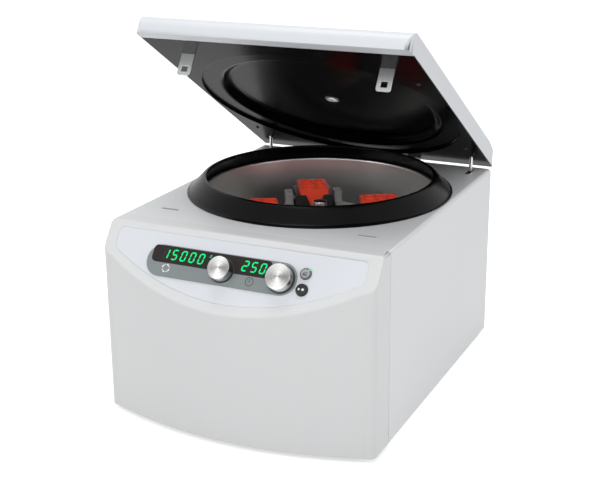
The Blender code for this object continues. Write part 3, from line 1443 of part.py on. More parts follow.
def make_liner(lid):
    """Glossy liner under the lid, with slots for the straps and the struts' rods."""
    shape = liner_solid()
    liner = piece("lid_liner", "black_gloss", shape, lid)
    if sum(face.normal.z for face in liner.data.polygons) > 0:
        liner.data.flip_normals()
    thicken = liner.modifiers.new("thickness", "SOLIDIFY")
    thicken.thickness = LINER_THICKNESS
    thicken.offset = -1
    slots = []
    for side in (-1, 1):
        x = side * STRAP_X
        half = STRAP_WIDTH / 2 + GAP
        slots.append(
            box(
                (x - half, x + half),
                (lid_y(STRAP_S + STRAP_THICKNESS / 2 + GAP), lid_y(STRAP_S - STRAP_THICKNESS / 2 - GAP)),
                (lid_z(-OVERRUN), lid_z(OVERRUN)),
            )
        )
        x = side * STRUT_X
        half = STRUT_SLOT_WIDTH / 2
        slots.append(
            prism(
                rectangle(
                    x - half,
                    x + half,
                    lid_y(LINER_STRUT_SLOT_FRONT),
                    lid_y(LINER_STRUT_SLOT_REAR),
                    half * SLOT_END_SHARE,
                ),
                lid_z(-OVERRUN),
                lid_z(OVERRUN),
            )
        )
        x = side * HINGE_X
        half = KNUCKLE_WIDTH / 2 + GAP
        slots.append(
            box(
                (x - half, x + half),
                (lid_y(LEAF_FAR_S + GAP), lid_y(LEAF_NEAR_S - GAP)),
                (lid_z(-OVERRUN), lid_z(OVERRUN)),
            )
        )
    cut(liner, merged(slots))
    return liner


def make_peephole(lid):
    """Clear plug through the middle of the lid."""
    low = lid_z(LINER_FLOOR_DEPTH - GAP - PEEP_FLANGE_THICKNESS)
    flange = lid_z(LINER_FLOOR_DEPTH - GAP)
    high = lid_z(LID_THICKNESS - PEEP_RECESS)
    profile = [(0, low), (PEEP_FLANGE_RADIUS, low), (PEEP_FLANGE_RADIUS, flange), (PEEP_RADIUS, flange)]
    profile += [(PEEP_RADIUS, high), (0, high)]
    plug = lathe(profile, PLUG_ROUND)
    return piece("peephole", "clear_plastic", plug, lid, (0, lid_y(LINER_CENTRE_S), 0))


def make_strap(lid, name, x):
    """Flat latch strap with a square hole, hanging below the liner on an inner foot."""
    half = STRAP_WIDTH / 2
    tip = -STRAP_DROP
    top = LEAF_FLANGE_TOP
    radius = STRAP_TIP_RADIUS
    outline = rounded([(-half, tip, radius), (half, tip, radius), (half, top, 0), (-half, top, 0)], 3)
    outline = [(u, lid_z(n)) for u, n in outline]
    near = lid_y(STRAP_S + STRAP_THICKNESS / 2)
    far = lid_y(STRAP_S - STRAP_THICKNESS / 2)
    strap = piece(name, "brushed_steel", prism(outline, near, far, "xzy"), lid, (x, 0, 0))
    foot = box(
        (-half, half),
        ((near + far) / 2, far + STRAP_FOOT_LENGTH),
        (lid_z(LEAF_FLANGE_BOTTOM), lid_z(top)),
    )
    join(strap, foot)
    wide = STRAP_HOLE_WIDTH / 2
    middle = lid_z(-STRAP_HOLE_DROP)
    hole = rectangle(-wide, wide, middle - STRAP_HOLE_HEIGHT / 2, middle + STRAP_HOLE_HEIGHT / 2)
    cut(strap, prism(hole, near - OVERRUN, far + OVERRUN, "xzy"))
    return strap


def make_leaf(lid, name, x):
    """Lid half of a hinge: knuckle, upright leaf and flange inside the lid."""
    radius = KNUCKLE_RADIUS
    reach = lid_y(LEAF_NEAR_S)
    meet = atan2((radius**2 - reach**2) ** 0.5, -reach)
    near = LEAF_NEAR_S
    far = LEAF_FAR_S
    round_end = arc((0, 0), radius, pi - meet, -2 * pi / 3, SMALL_ROUND)
    outline = round_end + [(lid_y(far), -radius / 2)]
    outline += lid_points([(far, LEAF_FLANGE_BOTTOM), (LEAF_FLANGE_END, LEAF_FLANGE_BOTTOM)])
    outline += lid_points([(LEAF_FLANGE_END, LEAF_FLANGE_TOP), (near, LEAF_FLANGE_TOP)])
    half = KNUCKLE_WIDTH / 2
    leaf = piece(name, "zinc_steel", prism(outline, -half, half, "yzx"), lid, (x, 0, 0))
    bore = circle(HINGE_PIN_RADIUS + HINGE_PIN_EASE, SMALL_ROUND)
    cut(leaf, prism(bore, -KNUCKLE_WIDTH, KNUCKLE_WIDTH, "yzx"))
    return leaf


def make_stud(lid, name, side):
    """Bracket inside the lid whose stud the strut's rod eye goes round."""
    inner = STRUT_EYE_WIDTH / 2 + STRUT_BRACKET_THICKNESS + GAP * 2
    half = STRUT_BRACKET_HALF
    eye = STRUT_EYE_WIDTH / 2 + GAP * 2
    y = lid_y(STRUT_S)
    low = LEAF_FLANGE_BOTTOM
    high = STRUT_N + STRUT_PIN_RADIUS * 2
    plate = box(sorted_pair(-side * inner, -side * eye), (y - half, y + half), (lid_z(low), lid_z(high)))
    stud = piece(name, "zinc_steel", plate, lid, (side * STRUT_X, 0, 0))
    across = sorted_pair(-side * (inner + half), -side * eye)
    base = box(across, (y - half, y + half), (lid_z(low), lid_z(LEAF_FLANGE_TOP)))
    join(stud, base)
    ends = sorted_pair(-side * (eye + inner) / 2, side * (STRUT_EYE_WIDTH / 2 + GAP * 2))
    join(stud, prism(circle(STRUT_PIN_RADIUS, SMALL_ROUND, (y, lid_z(STRUT_N))), *ends, "yzx"))
    return stud


def sorted_pair(first, second):
    """The two numbers, low one first."""
    return min(first, second), max(first, second)


def make_lid():
    """The lid with everything that turns with it."""
    lid = empty("lid_frame", (0, HINGE_Y, HINGE_Z), tilt=-LID_OPEN)
    make_lid_shell(lid)
    make_liner(lid)
    make_peephole(lid)
    for side, word in ((-1, "left"), (1, "right")):
        make_strap(lid, f"latch_strap_{word}", side * STRAP_X)
        make_leaf(lid, f"hinge_leaf_{word}", side * HINGE_X)
        make_stud(lid, f"strut_stud_{word}", side)


# Hinge brackets, latches and gas struts


def latch_line():
    """Where the straps come down through the deck."""
    return HINGE_Y + LID_EDGE_Y - STRAP_S


def make_bracket(name, x):
    """Body half of a hinge: plate on the rear panel, two ears and the pin."""
    plate = box(
        (-HINGE_PLATE_HALF_WIDTH, HINGE_PLATE_HALF_WIDTH),
        (REAR_PANEL_BACK + GAP - HINGE_Y, REAR_PANEL_BACK + GAP + HINGE_PLATE_THICKNESS - HINGE_Y),
        (-HINGE_PLATE_BOTTOM_DROP + HINGE_DROP, -HINGE_PLATE_TOP_DROP + HINGE_DROP + KNUCKLE_RADIUS),
    )
    bracket = piece(name, "zinc_steel", plate, None, (x, HINGE_Y, HINGE_Z))
    root = REAR_PANEL_BACK + GAP + HINGE_PLATE_THICKNESS / 2 - HINGE_Y
    drop = HINGE_PLATE_BOTTOM_DROP - HINGE_DROP - HINGE_PLATE_THICKNESS
    ear = [(root, -drop), (-root * EAR_TOE_SHARE, -drop / 2)]
    ear += arc((0, 0), KNUCKLE_RADIUS, -pi / 4, pi / 2, SMALL_ROUND // 2)
    ear += [(root, KNUCKLE_RADIUS)]
    ears = []
    near = KNUCKLE_WIDTH / 2 + EAR_GAP
    for side in (-1, 1):
        ears.append(prism(ear, *sorted_pair(side * near, side * (near + EAR_WIDTH)), "yzx"))
    join(bracket, merged(ears))
    reach = near + EAR_WIDTH / 2
    join(bracket, prism(circle(HINGE_PIN_RADIUS, SMALL_ROUND), -reach, reach, "yzx"))
    return bracket


def make_latch(name, x):
    """Latch unit under the deck with the well its strap drops into."""
    y = latch_line()
    high = DECK_Z - SHEET - GAP
    low = high - LATCH_HEIGHT
    half = LATCH_HALF_WIDTH
    deep = LATCH_HALF_DEPTH
    unit = piece(name, "black_plastic", box((-half, half), (-deep, deep), (low, high)), None, (x, y, 0))
    wide = LATCH_SLOT_LENGTH / 2
    slot = LATCH_SLOT_WIDTH / 2
    cut(unit, box((-wide, wide), (-slot, slot), (high - LATCH_WELL_DEPTH, high + OVERRUN)))
    return unit


def strut_geometry():
    """Lower pivot, tilt and length of the strut when the lid is open."""
    low_y = REAR_Y - STRUT_FOOT_AHEAD
    low_z = FOOT_HEIGHT + STRUT_FOOT_RISE
    closed_y = lid_y(STRUT_S)
    closed_z = lid_z(STRUT_N)
    open_y, open_z = open_offset(closed_y, closed_z)
    radius = hypot(open_y, open_z)
    bulge = radius * (1 - cos(LID_OPEN / 2)) / 2
    middle = (atan2(open_z, open_y) + atan2(closed_z, closed_y)) / 2
    eye_y = HINGE_Y + open_y + bulge * cos(middle)
    eye_z = HINGE_Z + open_z + bulge * sin(middle)
    length = hypot(eye_y - low_y, eye_z - low_z)
    tilt = -asin((eye_y - low_y) / length)
    return low_y, low_z, length, tilt


def make_strut(word, side):
    """Gas strut: barrel on its lower pin, rod up into the lid."""
    low_y, low_z, length, tilt = strut_geometry()
    frame = empty(f"strut_frame_{word}", (side * STRUT_X, low_y, low_z), tilt=tilt)
    half = STRUT_EYE_WIDTH / 2
    eye = prism(circle(STRUT_EYE_RADIUS, EYE_ROUND), -half, half, "yzx")
    barrel = piece(f"strut_cylinder_{word}", "black_gloss", eye, frame)
    neck = STRUT_BARREL_START
    thin = half * SLOT_END_SHARE
    start = STRUT_EYE_RADIUS * EYE_NECK_SHARE
    profile = [(0, start), (thin, start), (thin, neck - half)]
    profile += [(STRUT_BARREL_RADIUS, neck), (STRUT_BARREL_RADIUS, STRUT_BARREL_END - half)]
    profile += [(STRUT_BARREL_RADIUS - half / 2, STRUT_BARREL_END), (0, STRUT_BARREL_END)]
    join(barrel, lathe(profile, EYE_ROUND))
    cut(barrel, prism(circle(STRUT_PIN_RADIUS + GAP, SMALL_ROUND), -half * 2, half * 2, "yzx"))
    floor = STRUT_BARREL_END - STRUT_BORE_DEPTH
    cut(barrel, cylinder(STRUT_BORE, floor, STRUT_BARREL_END + OVERRUN, SMALL_ROUND))
    eye = prism(circle(STRUT_EYE_RADIUS, EYE_ROUND), -half, half, "yzx")
    rod = piece(f"strut_rod_{word}", "bright_rod", eye, frame, (0, 0, length))
    start = STRUT_BARREL_END - STRUT_ROD_INSERT - length
    join(rod, cylinder(STRUT_ROD_RADIUS, start, -STRUT_EYE_RADIUS * EYE_NECK_SHARE, SMALL_ROUND))
    cut(rod, prism(circle(STRUT_PIN_RADIUS + STRUT_TOP_CLEARANCE, SMALL_ROUND), -half * 2, half * 2, "yzx"))
    make_strut_foot(word, side, low_y, low_z)


def make_strut_foot(word, side, y, z):
    """Bracket on the tray that carries the strut's lower pin."""
    eye = STRUT_EYE_WIDTH / 2 + GAP * 2
    inner = eye + STRUT_BRACKET_THICKNESS
    half = STRUT_BRACKET_HALF
    low = TRAY_FLOOR + GAP - z
    upright = box(sorted_pair(-side * inner, -side * eye), (-half, half), (low, half))
    foot = piece(f"strut_foot_{word}", "zinc_steel", upright, None, (side * STRUT_X, y, z))
    across = sorted_pair(-side * (inner + half), -side * eye)
    base = box(across, (-half, half), (low, low + STRUT_BRACKET_THICKNESS))
    join(foot, base)
    ends = sorted_pair(-side * (eye + inner) / 2, side * eye)
    join(foot, prism(circle(STRUT_PIN_RADIUS, SMALL_ROUND), *ends, "yzx"))
    return foot


def make_fittings():
    """Brackets, latches and struts on both sides."""
    for side, word in ((-1, "left"), (1, "right")):
        make_bracket(f"hinge_bracket_{word}", side * HINGE_X)
        make_latch(f"latch_unit_{word}", side * STRAP_X)
        make_strut(word, side)


def main():
    """Builds every sub-part of the centrifuge."""
    clear_scene()
    make_cover()
    make_controls()
    make_tray()
    make_rear_panel()
    make_feet()
    make_inlet()
    make_switch()
    make_bowl()
    make_seal()
    make_guard()
    make_motor()
    make_dampers()
    make_power_unit()
    make_rotor()
    make_lid()
    make_fittings()


main()
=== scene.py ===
"""Looks of a benchtop laboratory centrifuge standing with its lid open.

Every length is in metres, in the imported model's own frame: X runs to the machine's right, Y to its
back and Z up from the bench.
"""

import json
import logging
import math
from dataclasses import dataclass
from enum import Enum

import bmesh
import bpy
import numpy as np
from mathutils import Matrix, Vector


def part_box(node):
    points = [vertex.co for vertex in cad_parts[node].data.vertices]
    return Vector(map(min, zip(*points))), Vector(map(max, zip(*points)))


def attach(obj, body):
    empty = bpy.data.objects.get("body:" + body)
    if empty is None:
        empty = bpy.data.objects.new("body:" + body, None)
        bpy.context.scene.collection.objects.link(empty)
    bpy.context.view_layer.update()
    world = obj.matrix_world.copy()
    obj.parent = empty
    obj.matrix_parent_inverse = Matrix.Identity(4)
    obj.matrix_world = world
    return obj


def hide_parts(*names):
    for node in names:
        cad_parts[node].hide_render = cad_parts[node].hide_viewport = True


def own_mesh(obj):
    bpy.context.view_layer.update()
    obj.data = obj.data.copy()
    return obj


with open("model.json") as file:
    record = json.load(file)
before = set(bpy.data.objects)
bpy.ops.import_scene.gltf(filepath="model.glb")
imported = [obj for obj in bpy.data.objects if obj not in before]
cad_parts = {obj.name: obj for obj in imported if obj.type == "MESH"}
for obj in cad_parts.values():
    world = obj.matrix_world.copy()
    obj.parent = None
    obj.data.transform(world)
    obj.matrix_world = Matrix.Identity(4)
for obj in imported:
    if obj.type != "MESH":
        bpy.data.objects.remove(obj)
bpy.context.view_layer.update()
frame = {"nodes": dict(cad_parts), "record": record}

Array = np.ndarray
Colour = tuple[float, float, float]
log = logging.getLogger("centrifuge")

MERGE = 1e-6
SHARP = math.radians(32)
FLAT = 0.01
BODY_OF = {node: body for body, nodes in frame["record"]["behaviour"]["bodies"].items() for node in nodes}


# Shader arithmetic


class Wire:
    """One value in a material's node tree. Arithmetic on it adds Math nodes."""

    def __init__(self, sheet: "Shading", socket: bpy.types.NodeSocket) -> None:
        """Keep the node tree's wrapper and the output socket."""
        self.sheet = sheet
        self.socket = socket

    def _math(self, operation: str, *values: "Wire | float") -> "Wire":
        """One Math node fed by the values in order."""
        return self.sheet.node("ShaderNodeMath", {"operation": operation}, dict(enumerate(values)))

    def __add__(self, other: "Wire | float") -> "Wire":
        """Sum."""
        return self._math("ADD", self, other)

    def __radd__(self, other: "Wire | float") -> "Wire":
        """Reflected sum."""
        return self._math("ADD", other, self)

    def __sub__(self, other: "Wire | float") -> "Wire":
        """Difference."""
        return self._math("SUBTRACT", self, other)

    def __rsub__(self, other: "Wire | float") -> "Wire":
        """Reflected difference."""
        return self._math("SUBTRACT", other, self)

    def __mul__(self, other: "Wire | float") -> "Wire":
        """Product."""
        return self._math("MULTIPLY", self, other)

    def __truediv__(self, other: "Wire | float") -> "Wire":
        """Quotient."""
        return self._math("DIVIDE", self, other)

    def __pow__(self, other: "Wire | float") -> "Wire":
        """Power."""
        return self._math("POWER", self, other)

    def larger(self, other: "Wire | float") -> "Wire":
        """The larger of the two values."""
        return self._math("MAXIMUM", self, other)

    def above(self, edge: float) -> "Wire":
        """One where the value is over the edge, else nought."""
        return self._math("GREATER_THAN", self, edge)

    def angle(self, other: "Wire") -> "Wire":
        """Angle of the point whose height is this value and whose width is the other."""
        return self._math("ARCTAN2", self, other)

    def sine(self) -> "Wire":
        """Sine of the value."""
        return self._math("SINE", self)

    def part(self, name: str) -> "Wire":
        """One of X, Y and Z of a vector."""
        return self.sheet.node("ShaderNodeSeparateXYZ", None, {0: self}, name)


class Shading:
    """A node tree being filled: every node that isn't plain arithmetic comes from node()."""

    def __init__(self, tree: bpy.types.NodeTree) -> None:
        """Clear the tree and keep it."""
        self.tree = tree
        tree.nodes.clear()

    def node(
        self,
        kind: str,
        settings: dict[str, object] | None = None,
        inputs: dict[str | int, object] | None = None,
        output: str | int = 0,
    ) -> Wire:
        """Add one node.

        Args:
            kind: Blender's type of the node.
            settings: the node's own settings, set first; "stops" are a ramp's (place, colour) pairs.
            inputs: value or wire for each socket, by name or number.
            output: the socket that the returned wire reads.

        Returns:
            The wire of that output.
        """
        added = self.tree.nodes.new(kind)
        for key, value in (settings or {}).items():
            if key == "stops":
                self._stops(added.color_ramp, value)
            else:
                setattr(added, key, value)
        for key, value in (inputs or {}).items():
            if isinstance(value, Wire):
                self.tree.links.new(value.socket, added.inputs[key])
            else:
                added.inputs[key].default_value = value
        return Wire(self, added.outputs[output] if len(added.outputs) else None)

    @staticmethod
    def _stops(ramp: bpy.types.ColorRamp, stops: list[tuple[float, Colour]]) -> None:
        """Give a ramp its stops."""
        while len(ramp.elements) < len(stops):
            ramp.elements.new(1.0)
        for element, (place, colour) in zip(ramp.elements, stops):
            element.position = place
            element.color = (*colour, 1.0)

    def place(self, turn: Colour = (0, 0, 0), centre: Colour = (0, 0, 0), scale: Colour = (1, 1, 1)) -> Wire:
        """Object coordinates, moved to a centre, turned and scaled.

        Args:
            turn: angles about X, Y and Z of the axes that the pattern follows.
            centre: point that becomes the pattern's origin.
            scale: factor for each axis of the pattern.

        Returns:
            The vector's wire.
        """
        raw = self.node("ShaderNodeTexCoord", output="Object")
        moved = self.node("ShaderNodeMapping", {"vector_type": "TEXTURE"}, {0: raw, 1: centre, 2: turn})
        return self.node("ShaderNodeVectorMath", {"operation": "MULTIPLY"}, {0: moved, 1: scale})

    def noise(self, vector: Wire, scale: float, detail: float = 2.0, rough: float = 0.5) -> Wire:
        """Smooth noise between nought and one."""
        sockets = {"Vector": vector, "Scale": scale, "Detail": detail, "Roughness": rough}
        return self.node("ShaderNodeTexNoise", None, sockets)

    def cells(self, vector: Wire, scale: float) -> Wire:
        """Distance to the nearest of scattered points."""
        return self.node("ShaderNodeTexVoronoi", {"feature": "F1"}, {"Vector": vector, "Scale": scale})

    def vector(self, x: Wire | float, y: Wire | float, z: Wire | float) -> Wire:
        """A vector of three values."""
        return self.node("ShaderNodeCombineXYZ", None, {0: x, 1: y, 2: z})

    def blend(self, share: Wire | float, first: Colour, second: Colour) -> Wire:
        """Colour between two, by the share of the second."""
        sockets = {0: share, 6: (*first, 1.0), 7: (*second, 1.0)}
        return self.node("ShaderNodeMix", {"data_type": "RGBA"}, sockets, 2)


class Grain(Enum):
    """What a surface shows up close."""

    MOULDED = "spark-eroded texture of a moulding"
    POWDER = "orange peel of powder coat"
    FILM = "printed polyester film"
    GLOSS = "polished plastic with a trace of dust"
    ROUND_BRUSHED = "lines round an upright axis"
    LINE_BRUSHED = "lines along one direction"
    # Turned rings, with a painted fan of highlight and shade about the axis.
    SPUN = "turned rings round a tilted axis"
    RUBBER = "matt rubber with talc"
    CAST = "shot-blasted casting"
    ZINC = "cloudy zinc plating"
    BOARD = "circuit board with tracks"
    LIT = "lit segment behind a diffuser"


@dataclass(frozen=True)
class Finish:
    """A surface finish that makes its own material.

    Args:
        name: the material's name.
        slot: the record's material slot it belongs to; not used.
        base: linear colour.
        grain: what the surface shows up close.
        rough: mean roughness.
        metal: metallic value.
        coat: weight of a clear coat.
        specular: level of the plain reflection.
        size: width of one grain.
        depth: height of the relief.
        tone: share by which the colour wanders.
        clear: share of light let through.
        centre: a point on the pattern's axis.
        turn: angles of the pattern's axes.
        glow: strength of the light given off.
    """

    name: str
    slot: str
    base: Colour
    grain: Grain
    rough: float
    metal: float = 0.0
    coat: float = 0.0
    specular: float = 0.5
    size: float = 0.0008
    depth: float = 0.00001
    tone: float = 0.04
    clear: float = 0.0
    centre: Colour = (0.0, 0.0, 0.0)
    turn: Colour = (0.0, 0.0, 0.0)
    glow: float = 0.0

    def material(self) -> bpy.types.Material:
        """The material, made once and kept by its name."""
        found = bpy.data.materials.get(self.name)
        if found:
            return found
        made = bpy.data.materials.new(self.name)
        made.use_nodes = True
        made.diffuse_color = (*self.base, 1.0)
        self._fill(Shading(made.node_tree))
        return made

    def _fill(self, sheet: Shading) -> None:
        """Build the nodes: a grain picks tone, roughness and relief, and one shader takes them."""
        tone, rough, relief = GRAINS[self.grain](self, sheet)
        dark = tuple(value * (1 - self.tone) for value in self.base)
        light = tuple(min(value * (1 + self.tone), 1.0) for value in self.base)
        inputs: dict[str | int, object] = {
            "Base Color": sheet.blend(tone, dark, light),
            "Roughness": rough,
            "Metallic": self.metal,
            "Specular IOR Level": self.specular,
            "Coat Weight": self.coat,
            "Coat Roughness": 0.08,
            "Normal": sheet.node(
                "ShaderNodeBump", None, {"Distance": self.depth, "Strength": 1.0, "Height": relief}
            ),
        }
        if self.clear:
            inputs |= {"Transmission Weight": self.clear, "IOR": 1.49}
        if self.glow:
            inputs |= {"Emission Color": sheet.blend(tone, dark, light), "Emission Strength": self.glow}
        shader = sheet.node("ShaderNodeBsdfPrincipled", None, inputs)
        sheet.node("ShaderNodeOutputMaterial", None, {"Surface": shader})


def moulded_grain(finish: Finish, sheet: Shading) -> tuple[Wire, Wire, Wire]:
    """Fine pits over a slow drift of tone, and a few duller patches.

    Args:
        finish: the finish being made.
        sheet: its node tree.

    Returns:
        Tone, roughness and relief.
    """
    place = sheet.place()
    fine = sheet.noise(place, 1 / finish.size, 3.0, 0.6)
    slow = sheet.noise(place, 4.0, 2.0)
    return slow * 0.7 + fine * 0.3, finish.rough + (slow - 0.5) * 0.08 + (fine - 0.5) * 0.1, fine


def powder_grain(finish: Finish, sheet: Shading) -> tuple[Wire, Wire, Wire]:
    """Rounded orange peel with finer specks on it.

    Args:
        finish: the finish being made.
        sheet: its node tree.

    Returns:
        Tone, roughness and relief.
    """
    place = sheet.place()
    peel = sheet.noise(place, 0.4 / finish.size, 1.0)
    speck = sheet.noise(place, 2 / finish.size, 2.0, 0.7)
    slow = sheet.noise(place, 3.0, 2.0)
    return slow * 0.6 + speck * 0.4, finish.rough + (speck - 0.5) * 0.12, peel * 0.8 + speck * 0.2


def film_grain(finish: Finish, sheet: Shading) -> tuple[Wire, Wire, Wire]:
    """Nearly flat film with a very fine matt grain.

    Args:
        finish: the finish being made.
        sheet: its node tree.

    Returns:
        Tone, roughness and relief.
    """
    place = sheet.place()
    fine = sheet.noise(place, 1 / finish.size, 2.0, 0.8)
    slow = sheet.noise(place, 8.0, 1.0)
    return slow, finish.rough + (fine - 0.5) * 0.06, fine


def gloss_grain(finish: Finish, sheet: Shading) -> tuple[Wire, Wire, Wire]:
    """Polished surface: slow waviness, and small dull specks of dust.

    Args:
        finish: the finish being made.
        sheet: its node tree.

    Returns:
        Tone, roughness and relief.
    """
    place = sheet.place()
    wave = sheet.noise(place, 9.0, 1.0)
    dust = sheet.noise(place, 900.0, 3.0, 0.7).above(0.7)
    haze = sheet.noise(place, 6.0, 3.0, 0.6)
    return haze, finish.rough + (haze - 0.5) * 0.1 + dust * 0.15, wave


def round_grain(finish: Finish, sheet: Shading) -> tuple[Wire, Wire, Wire]:
    """Rings round an upright axis: noise of the radius and the height alone, broken up by slow noise.

    Args:
        finish: the finish being made.
        sheet: its node tree.

    Returns:
        Tone, roughness and relief.
    """
    place = sheet.place(finish.turn, finish.centre)
    x, y, z = place.part("X"), place.part("Y"), place.part("Z")
    radius = (x * x + y * y) ** 0.5
    slow = sheet.noise(place, 14.0, 2.0)
    rings = sheet.noise(sheet.vector(radius / finish.size, z / finish.size, slow * 2.0), 1.0, 3.0, 0.7)
    broad = sheet.noise(sheet.vector(radius * 60.0, z * 60.0, slow), 1.0, 1.0)
    return rings * 0.5 + broad * 0.5, finish.rough + (rings - 0.5) * 0.16 + (slow - 0.5) * 0.08, rings


def spun_grain(finish: Finish, sheet: Shading) -> tuple[Wire, Wire, Wire]:
    """Turned face: fine rings, and a painted fan of highlight and shade standing in for the sheen of turned
    metal, two sines of the angle about the axis.

    Args:
        finish: the finish being made.
        sheet: its node tree.

    Returns:
        Tone, roughness and relief.
    """
    place = sheet.place(finish.turn, finish.centre)
    x, y = place.part("X"), place.part("Y")
    angle = y.angle(x)
    # Painted highlight and shade: the tone swings bright and dark with the angle round the axis, as the sheen
    # of turned metal does under lamps.
    painted_fan_sheen = (angle * 2.0 - 1.8).sine() * 0.42 + (angle * 3.0 - 1.2).sine() * 0.12 + 0.5
    rings = sheet.noise(
        sheet.vector((x * x + y * y) ** 0.5 / finish.size, place.part("Z") / finish.size, 0.0), 1.0, 3.0
    )
    return painted_fan_sheen * 0.85 + rings * 0.15, finish.rough + (rings - 0.5) * 0.14, rings


def line_grain(finish: Finish, sheet: Shading) -> tuple[Wire, Wire, Wire]:
    """Straight brushed lines: noise drawn out forty times along X of the turned axes.

    Args:
        finish: the finish being made.
        sheet: its node tree.

    Returns:
        Tone, roughness and relief.
    """
    place = sheet.place(finish.turn, finish.centre, (0.025, 1.0, 1.0))
    lines = sheet.noise(place, 1 / finish.size, 3.0, 0.7)
    slow = sheet.noise(sheet.place(), 20.0, 2.0)
    return lines * 0.6 + slow * 0.4, finish.rough + (lines - 0.5) * 0.16, lines


def rubber_grain(finish: Finish, sheet: Shading) -> tuple[Wire, Wire, Wire]:
    """Matt skin with fine pores and a faint bloom.

    Args:
        finish: the finish being made.
        sheet: its node tree.

    Returns:
        Tone, roughness and relief.
    """
    place = sheet.place()
    pores = sheet.noise(place, 1 / finish.size, 3.0, 0.7)
    bloom = sheet.noise(place, 12.0, 3.0, 0.6)
    return bloom, finish.rough + (bloom - 0.5) * 0.2 + (pores - 0.5) * 0.08, pores


def cast_grain(finish: Finish, sheet: Shading) -> tuple[Wire, Wire, Wire]:
    """Blasted casting: pitted by scattered cells over rolling noise.

    Args:
        finish: the finish being made.
        sheet: its node tree.

    Returns:
        Tone, roughness and relief.
    """
    place = sheet.place()
    pits = sheet.cells(place, 0.8 / finish.size)
    roll = sheet.noise(place, 90.0, 3.0, 0.6)
    return roll * 0.6 + pits * 0.4, finish.rough + (pits - 0.5) * 0.12, pits * 0.6 + roll * 0.4


def zinc_grain(finish: Finish, sheet: Shading) -> tuple[Wire, Wire, Wire]:
    """Plated sheet: soft clouds and faint rolling lines.

    Args:
        finish: the finish being made.
        sheet: its node tree.

    Returns:
        Tone, roughness and relief.
    """
    cloud = sheet.noise(sheet.place(), 60.0, 3.0, 0.6)
    lines = sheet.noise(sheet.place(scale=(1.0, 0.03, 0.03)), 1 / finish.size, 2.0, 0.6)
    return cloud * 0.7 + lines * 0.3, finish.rough + (cloud - 0.5) * 0.25, lines


def board_grain(finish: Finish, sheet: Shading) -> tuple[Wire, Wire, Wire]:
    """Solder mask with raised tracks: square waves of two sines cut by noise.

    Args:
        finish: the finish being made.
        sheet: its node tree.

    Returns:
        Tone, roughness and relief.
    """
    place = sheet.place()
    wander = sheet.noise(place, 25.0, 0.0).above(0.5)
    along = (place.part("X") * 2500.0).sine().above(0.3)
    across = (place.part("Z") * 2500.0).sine().above(0.3)
    tracks = along * wander + across * (1 - wander)
    return tracks, finish.rough + tracks * 0.05, tracks


def lit_grain(finish: Finish, sheet: Shading) -> tuple[Wire, Wire, Wire]:
    """Diffuser with a soft mottling.

    Args:
        finish: the finish being made.
        sheet: its node tree.

    Returns:
        Tone, roughness and relief.
    """
    mottle = sheet.noise(sheet.place(), 700.0, 2.0)
    return mottle, finish.rough + (mottle - 0.5) * 0.1, mottle


GRAINS = {
    Grain.MOULDED: moulded_grain,
    Grain.POWDER: powder_grain,
    Grain.FILM: film_grain,
    Grain.GLOSS: gloss_grain,
    Grain.ROUND_BRUSHED: round_grain,
    Grain.LINE_BRUSHED: line_grain,
    Grain.SPUN: spun_grain,
    Grain.RUBBER: rubber_grain,
    Grain.CAST: cast_grain,
    Grain.ZINC: zinc_grain,
    Grain.BOARD: board_grain,
    Grain.LIT: lit_grain,
}


# Surfaces worked out on grids


@dataclass(frozen=True)
class Place:
    """An origin with three unit axes.

    Args:
        origin: the point where the axes start.
        x: first axis.
        y: second axis.
        z: third axis.
    """

    origin: Colour
    x: Colour = (1.0, 0.0, 0.0)
    y: Colour = (0.0, 1.0, 0.0)
    z: Colour = (0.0, 0.0, 1.0)

    def out(self, points: Array) -> Array:
        """Points given on these axes, in the machine's frame: origin + x X + y Y + z Z."""
        return np.asarray(self.origin) + np.asarray(points) @ np.array([self.x, self.y, self.z])

    def at(self, x: float = 0.0, y: float = 0.0, z: float = 0.0) -> "Place":
        """The same axes starting from another point of this place."""
        return Place(tuple(self.out(np.array([x, y, z]))), self.x, self.y, self.z)

    def spun(self, angle: float) -> "Place":
        """The place turned about its own third axis."""
        x, y = np.array(self.x), np.array(self.y)
        turned_x = x * math.cos(angle) + y * math.sin(angle)
        return Place(self.origin, tuple(turned_x), tuple(y * math.cos(angle) - x * math.sin(angle)), self.z)

    def facing(self, x: Colour, y: Colour, z: Colour) -> "Place":
        """The same origin with new axes, each given on this place's axes."""
        turn = np.array([self.x, self.y, self.z])
        return Place(
            self.origin, tuple(np.array(x) @ turn), tuple(np.array(y) @ turn), tuple(np.array(z) @ turn)
        )

    def angles(self) -> Colour:
        """The axes as angles about X, Y and Z."""
        return tuple(Matrix((self.x, self.y, self.z)).transposed().to_euler())


@dataclass(frozen=True)
class Surface:
    """Points and faces worked out as arrays.

    Args:
        points: one row of x, y and z for each point.
        faces: arrays of corner numbers, one array for each count of corners.
    """

    points: Array
    faces: tuple[Array, ...]

    def on(self, place: Place) -> "Surface":
        """The surface carried to a place."""
        return Surface(place.out(self.points), self.faces)

    def __add__(self, other: "Surface") -> "Surface":
        """Both surfaces as one, the second's corner numbers moved up by the first's point count."""
        moved = tuple(face + len(self.points) for face in other.faces)
        return Surface(np.concatenate([self.points, other.points]), self.faces + moved)


def together(surfaces: list[Surface]) -> Surface:
    """Several surfaces as one."""
    total = surfaces[0]
    for surface in surfaces[1:]:
        total = total + surface
    return total


def grid(points: Array, closed_rows: bool = False, closed_columns: bool = False) -> Surface:
    """Faces over a grid of points.

    Cell (r, c) joins points (r, c), (r, c+1), (r+1, c+1) and (r+1, c), counted round where it is closed.

    Args:
        points: array of rows by columns by three.
        closed_rows: whether the last row joins the first.
        closed_columns: whether the last column joins the first.

    Returns:
        The surface.
    """
    rows, columns = points.shape[:2]
    row = np.arange(rows if closed_rows else rows - 1)[:, None]
    column = np.arange(columns if closed_columns else columns - 1)[None, :]
    here, below = row * columns, (row + 1) % rows * columns
    beside = (column + 1) % columns
    corners = np.stack([here + column, here + beside, below + beside, below + column], axis=-1)
    return Surface(points.reshape(-1, 3), (corners.reshape(-1, 4),))


